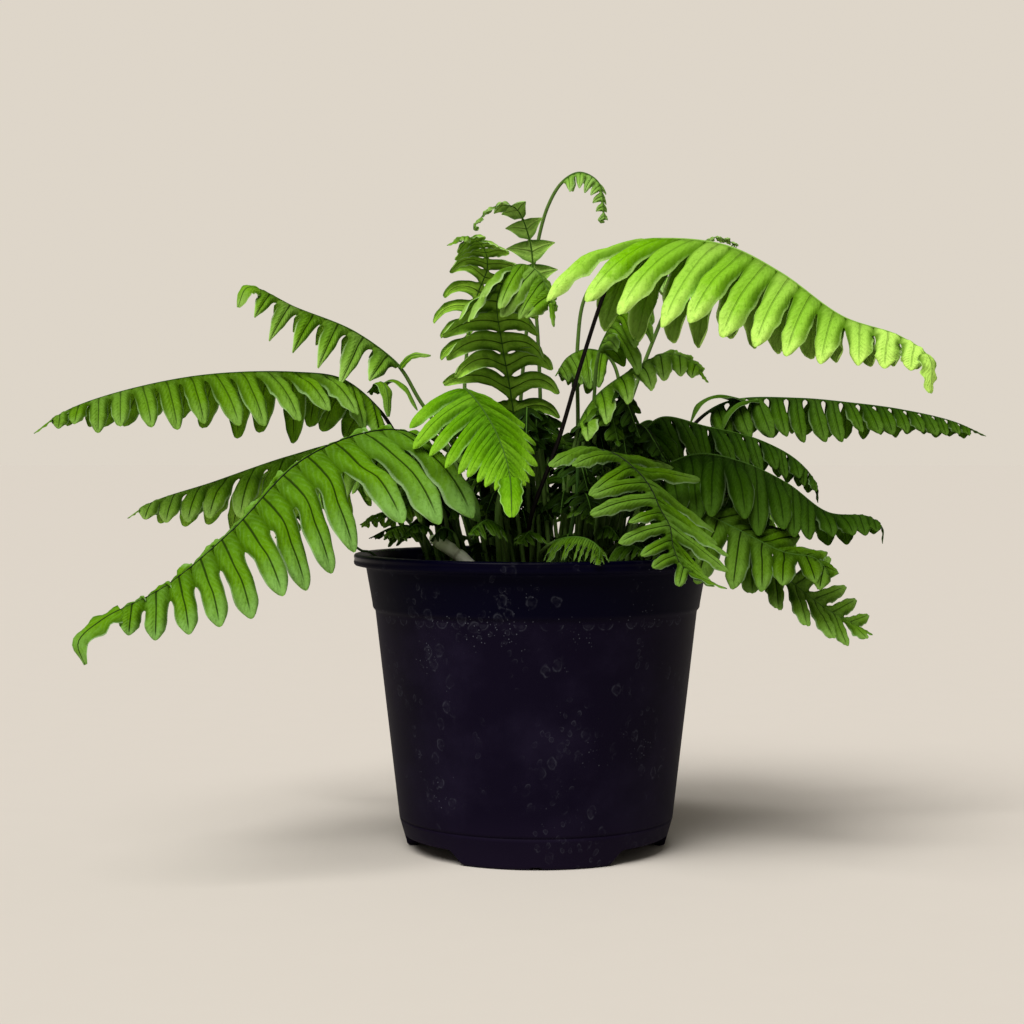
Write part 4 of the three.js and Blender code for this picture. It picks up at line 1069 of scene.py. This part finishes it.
# %% The pot's profile
POT_SIDES = 432
FOOT_INSIDE = 55.6 * MM
FOOT_RADIUS = 58.6 * MM
FOOT_ROUND = (1.9 * MM, 2.4 * MM)
SKIRT_TOP = (63.9 * MM, 14.2 * MM)
PART_LINE = [(63.5, 14.5), (63.6, 14.9), (64.0, 15.1)]
WALL_TOP = (74.9 * MM, 110 * MM)
BAND_STEP = [(74.95, 110.5), (75.2, 111.0), (75.8, 111.7), (76.15, 112.3), (76.25, 113.1), (76.45, 114.6)]
LIP = [(79.1, 129.6), (79.25, 130.4), (79.6, 131.0), (80.4, 131.4), (83.6, 131.7), (84.4, 131.9),
       (84.85, 132.4), (84.95, 133.2), (84.75, 134.2), (84.75, 135.0), (84.95, 135.6), (84.85, 136.3),
       (84.4, 136.8), (83.7, 137.0), (79.0, 136.9), (78.1, 136.6), (77.7, 135.9)]
INSIDE = [(76.0, 124), (74.6, 112.6), (72.4, 110.5), (71.7, 109), (66.3, 60), (61.0, 10.4), (60.2, 9.4),
          (59.0, 9.2), (47, 9.2), (33, 9.2), (0.02, 9.2)]
FLOOR_UNDERSIDE = [(0.02, 7.2), (33, 7.2), (47, 7.2), (55.9, 7.2)]
FEET = 3
ARCH = (28 * MM, 20.5 * MM, 6.8 * MM)
NICK = (3.6 * MM, 1.8 * MM, 1.3 * MM)
SKIRT_SHARES = (0.01, 0.05, 0.1, 0.17, 0.3, 0.5, 0.7, 0.9, 1.0)
WALL_RINGS = 14
WALL_END = 109.4


def s_curve(value):
    """From 0 to 1 with a soft start and a soft end."""
    value = np.clip(value, 0, 1)
    return value * value * (3 - 2 * value)


def skirt_edge(angles):
    """Height of the skirt's lower edge round the pot, with its feet, arches and small nicks."""
    turn = 2 * math.pi / FEET
    from_foot = (angles + math.pi / 2 + turn / 2) % turn - turn / 2
    from_arch = turn / 2 - np.abs(from_foot)
    edge = np.zeros_like(angles)
    for (foot, top, rise), offset in ((ARCH, from_arch), (NICK, np.abs(from_foot))):
        aside = FOOT_RADIUS * np.sin(offset)
        edge = np.maximum(edge, rise * s_curve((foot - aside) / (foot - top)))
    return edge


def skirt_radius(height):
    """Outside of the skirt: a rounded corner at the foot and then a straight, tapered wall."""
    wide, tall = FOOT_ROUND
    corner = FOOT_RADIUS + wide * np.sqrt(1 - (1 - np.clip(height / tall, 0, 1)) ** 2)
    slope = (SKIRT_TOP[0] - FOOT_RADIUS - wide) / (SKIRT_TOP[1] - tall)
    return corner + slope * np.clip(height - tall, 0, None)


def pot_rings():
    """All rings of the pot: its floor from below, the skirt, the wall, band, lip and the inside."""
    angles = np.arange(POT_SIDES) * 2 * math.pi / POT_SIDES
    edge = skirt_edge(angles)
    flat = np.ones_like(angles)
    rings = [(radius * MM * flat, height * MM * flat) for radius, height in FLOOR_UNDERSIDE]
    rings.append((FOOT_INSIDE * flat + 0.1 * MM, np.maximum(edge + 0.3 * MM, 6.9 * MM)))
    rings.append((FOOT_INSIDE * flat, edge + 0.2 * MM))
    rings.append((FOOT_INSIDE * flat + 0.3 * MM, edge))
    rings.append((skirt_radius(edge) - 0.25 * MM, edge))
    for share in SKIRT_SHARES:
        height = edge + (SKIRT_TOP[1] - edge) * share
        rings.append((skirt_radius(height), height))
    wall_foot = PART_LINE[-1]
    wall = [(np.interp(z, [wall_foot[1], WALL_TOP[1] / MM], [wall_foot[0], WALL_TOP[0] / MM]), z)
            for z in np.linspace(wall_foot[1] + 1, WALL_END, WALL_RINGS)]
    for radius, height in [*PART_LINE, *wall, *BAND_STEP, *LIP, *INSIDE]:
        rings.append((radius * MM * flat, height * MM * flat))
    return angles, rings


def lathe(name, angles, rings):
    """A closed skin through rings of points, from the axis round to the axis again."""
    sides = len(angles)
    points = [np.stack([radius * np.cos(angles), radius * np.sin(angles), height], axis=1)
              for radius, height in rings]
    faces = []
    for ring in range(len(rings) - 1):
        for i in range(sides):
            a, b = ring * sides + i, ring * sides + (i + 1) % sides
            faces.append((a, b, b + sides, a + sides))
    last = (len(rings) - 1) * sides
    faces.append(tuple(reversed(range(sides))))
    faces.append(tuple(range(last, last + sides)))
    piece = new_piece(name, np.concatenate(points), faces=faces)
    for polygon in piece.data.polygons:
        polygon.use_smooth = True
    return piece


pot = lathe("nursery_pot", *pot_rings())
print("pot", [round(value / MM, 1) for value in pot.dimensions], "mm,", len(pot.data.polygons), "faces")

# %% [markdown]
# The floor has a ring of drain holes. They are the one thing on the pot that isn't round about its axis
# and isn't at its edge, so a Boolean cuts them, and its result is kept as a plain mesh.

# %% Drain holes
DRAIN_HOLES = 6
DRAIN_RADIUS = 4.5 * MM
DRAIN_CIRCLE = 40 * MM
DRILL_LENGTH = 8 * MM
POT_FLOOR_MIDDLE = 8.2 * MM


def cut_drain_holes(piece):
    """Cuts the holes with a ring of round drills and throws the drills away."""
    tool = bmesh.new()
    for number in range(DRAIN_HOLES):
        angle = number * 2 * math.pi / DRAIN_HOLES
        made = bmesh.ops.create_cone(tool, cap_ends=True, segments=28, radius1=DRAIN_RADIUS,
                                     radius2=DRAIN_RADIUS, depth=DRILL_LENGTH)
        place = Vector((DRAIN_CIRCLE * math.cos(angle), DRAIN_CIRCLE * math.sin(angle), POT_FLOOR_MIDDLE))
        bmesh.ops.translate(tool, verts=made["verts"], vec=place)
    cutter = new_piece("drain_hole_cutter", [])
    tool.to_mesh(cutter.data)
    tool.free()
    modifier = piece.modifiers.new("drain", "BOOLEAN")
    modifier.object = cutter
    modifier.solver = "EXACT"
    keep_result(piece)
    bpy.data.objects.remove(cutter)


cut_drain_holes(pot)
print("pot with drain holes,", len(pot.data.polygons), "faces")

# %% [markdown]
# Black moulded plastic is never plain black. It has a low, uneven gloss, and this pot carries dried water
# marks: thin pale rings where drops have stood, mostly under the lip and the band, and specks of lime and
# dust. Round cells give the rings: a band of a cell's distance is a ring, and noise decides which stay.

# %% Pot finish
WALL_RADIUS = 75 * MM
SEAM_HEIGHT = 111 * MM
BAND_EDGE = 109.6 * MM
HUNG_DROPS_PER_METRE = 125


def dried_ring(distance, radius):
    """A pale rim round a fainter disc."""
    rim = smooth_step(distance, radius - 0.06, radius) * (1 - smooth_step(distance, radius, radius + 0.07))
    return higher_of(rim, (1 - smooth_step(distance, radius * 0.6, radius)) * 0.25)


def water_marks(finish, around, height):
    """Rings where drops have dried on the wall, and a row of half rings where drops hung from the band."""
    wall = finish.tree.nodes.new("ShaderNodeCombineXYZ")
    connect(around, wall.inputs["X"])
    connect(height * 0.85, wall.inputs["Y"])
    wall = Wire(wall.outputs[0]) + finish.noise(240, detail=1, output="Color") * (3.5 * MM)
    marks = dried_ring(finish.cells(98, wall, "2D"), 0.2)
    marks = marks * smooth_step(finish.noise(34, detail=2), 0.56, 0.66)
    small = dried_ring(finish.cells(190, wall + (0.3, 0.1, 0.0), "2D"), 0.19)
    marks = higher_of(marks, small * smooth_step(finish.noise(47, detail=2), 0.54, 0.64) * 0.8)
    aside = finish.cells(HUNG_DROPS_PER_METRE, around, "1D")
    below = (BAND_EDGE - height) * HUNG_DROPS_PER_METRE
    hung = dried_ring((aside * aside + below * below) ** 0.5, 0.33) * smooth_step(below, 0.0, 0.05)
    marks = higher_of(marks, hung * smooth_step(finish.noise(55, detail=1), 0.42, 0.5))
    return marks * smooth_step(finish.noise(420, detail=2), 0.35, 0.65)


def pot_finish():
    """Nearly black plastic with water marks, specks of lime, painted shade on the band and the lip, and a
    glossier lip.
    """
    finish = Finish("black_moulded_plastic", Specular_IOR_Level=0.04)
    haze = finish.noise(28, detail=5, roughness=0.6)
    wear = finish.noise(65, detail=3)
    grain = finish.noise(2600, detail=2)
    height = finish.space.part("Z")
    around = calculate("ARCTAN2", finish.space.part("X"), finish.space.part("Y") * -1) * WALL_RADIUS
    specks = 1 - smooth_step(finish.cells(520), 0.1, 0.2)
    seam = size_of(height - SEAM_HEIGHT) * (1 / MM)
    gathered = (1 - smooth_step(seam, 0.6, 2.5)) * 0.14 + smooth_step(height, 96 * MM, 108 * MM) * 0.05
    specks = specks * smooth_step(finish.noise(38, detail=5) + gathered, 0.6, 0.7)
    lime = higher_of(water_marks(finish, around, height) * 0.4, specks)
    low = smooth_step(height, 0.0, 30 * MM)
    lip = smooth_step(height, 133.5 * MM, 134.5 * MM)
    wall = finish.tint((0.0036, 0.0019, 0.0095), (0.0085, 0.0058, 0.018), smooth_step(haze, 0.4, 0.75))
    # Above 109 mm the band and the lip are painted darker. This is painted shade from the lip and the
    # foliage over them.
    finish.paint((0.007, 0.004, 0.0145), (wall, low),
                 ((0.0005, 0.0001, 0.0062), smooth_step(height, 109 * MM, 114 * MM)),
                 ((0.14, 0.15, 0.19), lime * 0.42))
    finish.set("Roughness", haze * 0.2 + 0.5 + lime * 0.2 - lip * 0.3)
    finish.bump(grain * 0.12 + lime * 0.6 + wear * 0.5, 0.00012)
    return finish.material


pot.data.materials.append(pot_finish())
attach(pot, "root")
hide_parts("pot")
print("pot finished")

# %% [markdown]
# ## The potting mix
# The pot is full to a finger's breadth under the lip with a dark mix of bark, peat and old roots. Its
# body is a plain round plug, turned like the pot. Its top is heaped a little to the middle, and smooth
# noise gives it clods.

# %% Body of the mix
SOIL_SIDES = 150
PLUG = [(0.02, 9.6), (58.5, 9.6), (60.4, 11), (65.7, 60), (71.0, 108.8), (73.6, 112.9), (74.3, 119.5)]
TOP_RINGS = 44
TOP_RADIUS = 74.4
CLOD = 1.5 * MM


def clod(x, y):
    """Small clods on the mix: coarse and fine noise, in metres."""
    spot = Vector((x, y, 0))
    return CLOD * (noise.noise(spot * 90) + 0.5 * noise.noise(spot * 260) + 0.3 * noise.noise(spot * 620))


def soil_rings():
    """Rings of the plug from its foot up, and then of its lumpy top from the edge to the middle."""
    angles = np.arange(SOIL_SIDES) * 2 * math.pi / SOIL_SIDES
    rings = [(radius * MM + 0 * angles, height * MM + 0 * angles) for radius, height in PLUG]
    for ring in range(TOP_RINGS + 1):
        radius = TOP_RADIUS * (1 - ring / TOP_RINGS) * MM + 0.02 * MM
        spots = [(radius * math.cos(angle), radius * math.sin(angle)) for angle in angles]
        heights = np.array([soil_height(x, y) + clod(x, y) for x, y in spots])
        rings.append((radius + 0 * angles, heights))
    return angles, rings


mix_body = lathe("potting_mix_body", *soil_rings())
print("potting mix,", len(mix_body.data.polygons), "faces")

# %% [markdown]
# Bark chips lie all over the top. They are loose and many, so Geometry Nodes scatter them on the faces
# that look up, each one turned and sized by chance from a fixed seed.

# %% Bark chips
CHIPS_PER_SQUARE_METRE = 60000
CHIP_LENGTH = 6.5 * MM
CHIP_SEED = 5
LEAST_UPWARD = 0.6
chips = Recipe("bark_chips", Float="Number Length", Int="Seed", Material="Bark")


def scatter_chips():
    """Chips on the faces that look up. Each is a rough ball, squeezed and turned by chance."""
    ground = chips.given("Geometry")
    seed = chips.given("Seed")
    upward = is_more(chips.result("InputNormal").part("Z"), LEAST_UPWARD)
    spots = chips.step("DistributePointsOnFaces", {
        "Mesh": ground, "Selection": upward, "Density": chips.given("Number"), "Seed": seed})
    chip = chips.result("MeshIcoSphere", {"Radius": 0.5, "Subdivisions": 1})
    turn = chips.result("FunctionNodeRandomValue", {
        "Min": (-0.5, -0.5, 0.0), "Max": (0.5, 0.5, math.tau), "Seed": seed}, data_type="FLOAT_VECTOR")
    large = chips.result("FunctionNodeRandomValue", {
        "Min": (0.35, 0.2, 0.1), "Max": (1.25, 0.7, 0.35), "Seed": seed + 1}, data_type="FLOAT_VECTOR")
    laid = chips.result("InstanceOnPoints", {
        "Points": Wire(spots.outputs["Points"]), "Instance": chip,
        "Rotation": chips.result("FunctionNodeEulerToRotation", {"Euler": turn}),
        "Scale": large * chips.given("Length")})
    chips.end(chips.coat(chips.result("JoinGeometry", {"Geometry": [ground, laid]}), "Bark"))


def bark_finish():
    """Dark peat with paler clods and long, pale bark fibres."""
    finish = Finish("peat_and_bark", roughness=0.95, Specular_IOR_Level=0.15)
    clods = finish.noise(120, detail=6, roughness=0.7)
    fibres = finish.noise(900, detail=3, vector=finish.space * (1.0, 0.35, 1.0))
    finish.paint((0.010, 0.006, 0.004), ((0.042, 0.024, 0.012), smooth_step(clods, 0.35, 0.7)),
                 ((0.085, 0.055, 0.03), smooth_step(fibres, 0.62, 0.8) * 0.6))
    finish.bump(fibres + clods, 0.0006)
    return finish.material


scatter_chips()
serve(chips, mix_body, {"Number": CHIPS_PER_SQUARE_METRE, "Length": CHIP_LENGTH, "Seed": CHIP_SEED,
                        "Bark": bark_finish()})
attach(mix_body, "root")
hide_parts("potting_mix")
print("potting mix with chips,", len(mix_body.data.polygons), "faces")

# %% [markdown]
# ## Rhizomes
# The fern creeps by fleshy stems nearly as thick as a pencil. They are pale, green towards the growing
# end and nearly white where they leave the mix, with faint rings where old scales sat. A rhizome follows
# a path, so its recipe sweeps a round section along it and swells it a little at every ring.

# %% Rhizomes
RHIZOME_RADIUS = 2.9 * MM
RHIZOMES = {
    "rhizome_front_left": [(-16, -42, 121), (-24, -37, 127), (-34, -34, 137), (-48, -34, 146)],
    "rhizome_right": [(40, -34, 121), (47, -30, 124), (56, -24, 126.5), (62, -14, 127)],
    "rhizome_back": [(-30, 44, 121), (-22, 50, 124.5), (-12, 56, 126.5), (-2, 62, 127)],
}
creeper = Recipe("creeping_stem", Float="Radius", Material="Skin")


def sweep_rhizome():
    """A round section swept along the course, swollen at its rings and blunt at its growing end."""
    share = creeper.result("SplineParameter")
    line = creeper.result("MeshToCurve", {"Mesh": creeper.given("Geometry")})
    line = creeper.store(line, "leaf_place", creeper.vector(share))
    swell = 1 + size_of(sine(share * 24)) * 0.06 + sine(share * 9) * 0.05
    blunt = (1.002 - share**12) ** 0.5
    radius = creeper.given("Radius") * swell * blunt * (0.93 + smooth_step(share, 0, 0.3) * 0.07)
    section = creeper.result("CurvePrimitiveCircle", {"Resolution": 24, "Radius": 1.0}, mode="RADIUS")
    body = creeper.result("CurveToMesh", {
        "Curve": line, "Profile Curve": section, "Scale": radius, "Fill Caps": True})
    creeper.end(creeper.coat(creeper.result("SetShadeSmooth", {"Geometry": body}), "Skin"))


def follow(name, path, radius, skin):
    """A thin round thing along a path."""
    return serve(creeper, new_course(name, spline(in_metres(path))), {"Radius": radius, "Skin": skin})


def rhizome_finish():
    """Pale skin, greener towards the growing end, with brown rings and a few dark spots."""
    finish = Finish("pale_rhizome_skin", roughness=0.5, Specular_IOR_Level=0.4)
    along = finish.attribute("leaf_place").part("X")
    spots = finish.noise(420, detail=4)
    rings = smooth_step(size_of(sine(along * 12)), 0.97, 1.0)
    finish.paint((0.95, 0.96, 0.84), ((0.62, 0.78, 0.42), smooth_step(along, 0.45, 0.95)),
                 ((0.18, 0.30, 0.08), smooth_step(spots, 0.6, 0.75) * 0.6),
                 ((0.25, 0.24, 0.12), rings * 0.4))
    finish.bump(spots + rings, 0.0002)
    return finish.material


sweep_rhizome()
skin = rhizome_finish()
for name, path in RHIZOMES.items():
    stem = follow(name + "_skin", path, RHIZOME_RADIUS, skin)
    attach(stem, "root")
    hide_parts(name)
    print(stem.name, len(stem.data.polygons), "faces")

# %% [markdown]
# A cut stalk still stands at the front of the crown, and a dry twig leans over the lip on the left. Both
# are thin round things along a path, so the rhizomes' recipe makes them too.

# %% Cut stalk and dry twig
THIN_THINGS = {
    "cut_stalk": (1.25 * MM, "green", "leaf_mid",
                  [(-15, -40, 120), (-16.4, -45, 137), (-16.8, -48, 160), (-13, -51, 174)]),
    "dry_twig": (0.55 * MM, "dark", "potting_mix",
                 [(-58, -23, 122), (-68, -21, 131), (-76, -20, 138.2), (-80, -20, 139), (-86, -19, 143.5)]),
}
for name, (radius, stalk, slot, path) in THIN_THINGS.items():
    thing = follow(name, path, radius, STALK_FINISHES[stalk])
    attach(thing, "root")
    print(name, len(thing.data.polygons), "faces")

# %% [markdown]
# ## Undergrowth
# Between the stalks the crown is full of small leaves that never reached the light. They are grown with
# the same recipe as the fronds, from a seeded draw, and kept as four pieces so that none is too heavy.
# The long black stalk shows all the way down in the photograph, so leaves in front of it are left out.

# %% Small leaves in the crown
UNDERGROWTH_SEED = 11
FIRST_ROW_NUMBER = 200
FOOT_OF_LEAVES = 126
SMALL_PAIRS = (3, 5)
SMALL_ARC = ((0.25, 0.5), (0.6, 1.0), (1.15, 1.12), (1.8, 0.85))
STALK_IN_VIEW = ((-3, -22, 151), (20, -37, 223))
STALK_CLEARANCE = 12
# The small leaves take the darker finishes: painted shade for the crown's shaded heart.
SHADE_PAINTED_FINISHES = ["shadow", "shadow", "deep"]
LOW = dict(middle=(0, 0), radius=52, rise=(14, 38), lean=(8, 20), lobe=(8, 13),
           leaves=["deep", "dim", "shadow", "shadow"])
TALL = dict(middle=(10, 9), radius=34, rise=(28, 78), lean=(8, 24), lobe=(12, 19), leaves=SHADE_PAINTED_FINISHES)
LEFT = dict(middle=(-22, 6), radius=25, rise=(12, 34), lean=(4, 10), lobe=(9, 14), leaves=SHADE_PAINTED_FINISHES)
THICKETS = {"undergrowth_leaves": (LOW, range(50)), "undergrowth_thicket": (TALL, range(42)),
            "undergrowth_heart": (TALL, range(42, 84)), "undergrowth_left": (LEFT, range(30))}


def small_leaf(number, draw, kind):
    """A short frond that leans outward from a place in the crown."""
    angle = draw.uniform(0, math.tau)
    out = kind["radius"] * math.sqrt(draw.uniform(0.02, 1.0))
    turn = angle + draw.uniform(-0.7, 0.7)
    rise, lean = draw.uniform(*kind["rise"]), draw.uniform(*kind["lean"])
    x, y = kind["middle"][0] + out * math.cos(angle), kind["middle"][1] + out * math.sin(angle)
    way = (math.cos(turn), math.sin(turn))
    path = [(x + way[0] * lean * share, y + way[1] * lean * share, FOOT_OF_LEAVES + rise * height)
            for share, height in SMALL_ARC]
    return dict(name=f"small_leaf_{number}", root=(x, y), neck=1, pairs=draw.randint(*SMALL_PAIRS),
                lobe=draw.uniform(*kind["lobe"]), sweep=(10, 30), droop=(16, 20), sag=0.4, path=path,
                leaf=draw.choice(kind["leaves"]), rows=8, columns=4)


def hides_stalk(leaf):
    """Whether a small leaf would grow in front of the long black stalk, which shows all the way down."""
    low, high = (Vector(point) for point in STALK_IN_VIEW)
    for x, y, z in leaf["path"]:
        stalk = low.lerp(high, (z - low.z) / (high.z - low.z))
        if y < stalk.y and abs(x - stalk.x) < STALK_CLEARANCE:
            return True
    return False


def join(pieces, name):
    """Joins plain pieces into the first one."""
    with bpy.context.temp_override(active_object=pieces[0], selected_editable_objects=pieces):
        bpy.ops.object.join()
    pieces[0].name = name
    return pieces[0]


draw = random.Random(UNDERGROWTH_SEED)
for name, (kind, numbers) in THICKETS.items():
    drawn = [(number, small_leaf(number, draw, kind)) for number in numbers]
    leaves = [frond_mesh(FIRST_ROW_NUMBER + number, leaf) for number, leaf in drawn
              if not hides_stalk(leaf)]
    thicket = join(leaves, name)
    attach(thicket, "root")
    print(name, len(leaves), "leaves of", len(drawn), "drawn,", len(thicket.data.polygons), "faces")

# %% [markdown]
# ## Stray lobes
# A few basal lobes stand apart from their blade and arch over it. A single lobe is a frond whose end lobe
# takes nearly the whole blade, so the same recipe grows it along its own short course.

# %% Lobes that stand apart
FIRST_STRAY_NUMBER = 600
STRAY = dict(root=None, neck=0, pairs=1, lobe=0.5, sweep=(0, 0), droop=(0, 0), sag=0, end=0.97, luck=0,
             ripple=0.1)
STRAY_LOBES = [
    dict(tip=0.13, leaf="upright", roll=(55, 55), path=[(-64, 0, 223.5), (-58, -1, 229), (-49, -2, 229)]),
    dict(tip=0.12, leaf="mid", path=[(-74, -12, 213), (-66, -17, 217), (-60, -20, 214), (-54, -22, 203)]),
    dict(tip=0.14, leaf="mid", path=[(-76, -13, 211), (-71, -20, 216), (-68, -24, 212), (-67, -26, 200)]),
    dict(tip=0.12, leaf="deep", path=[(100, 28, 209), (86, 20, 211), (77, 17, 207), (73, 15, 198)]),
    dict(tip=0.12, leaf="deep", path=[(106, 29, 209), (96, 20, 207), (90, 17, 201), (88, 16, 194)]),
]
stray = [frond_mesh(FIRST_STRAY_NUMBER + number, {"name": f"stray_lobe_{number}", **STRAY, **fact})
         for number, fact in enumerate(STRAY_LOBES)]
strays = join(stray, "stray_lobes")
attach(strays, "root")
print("stray lobes,", len(strays.data.polygons), "faces")
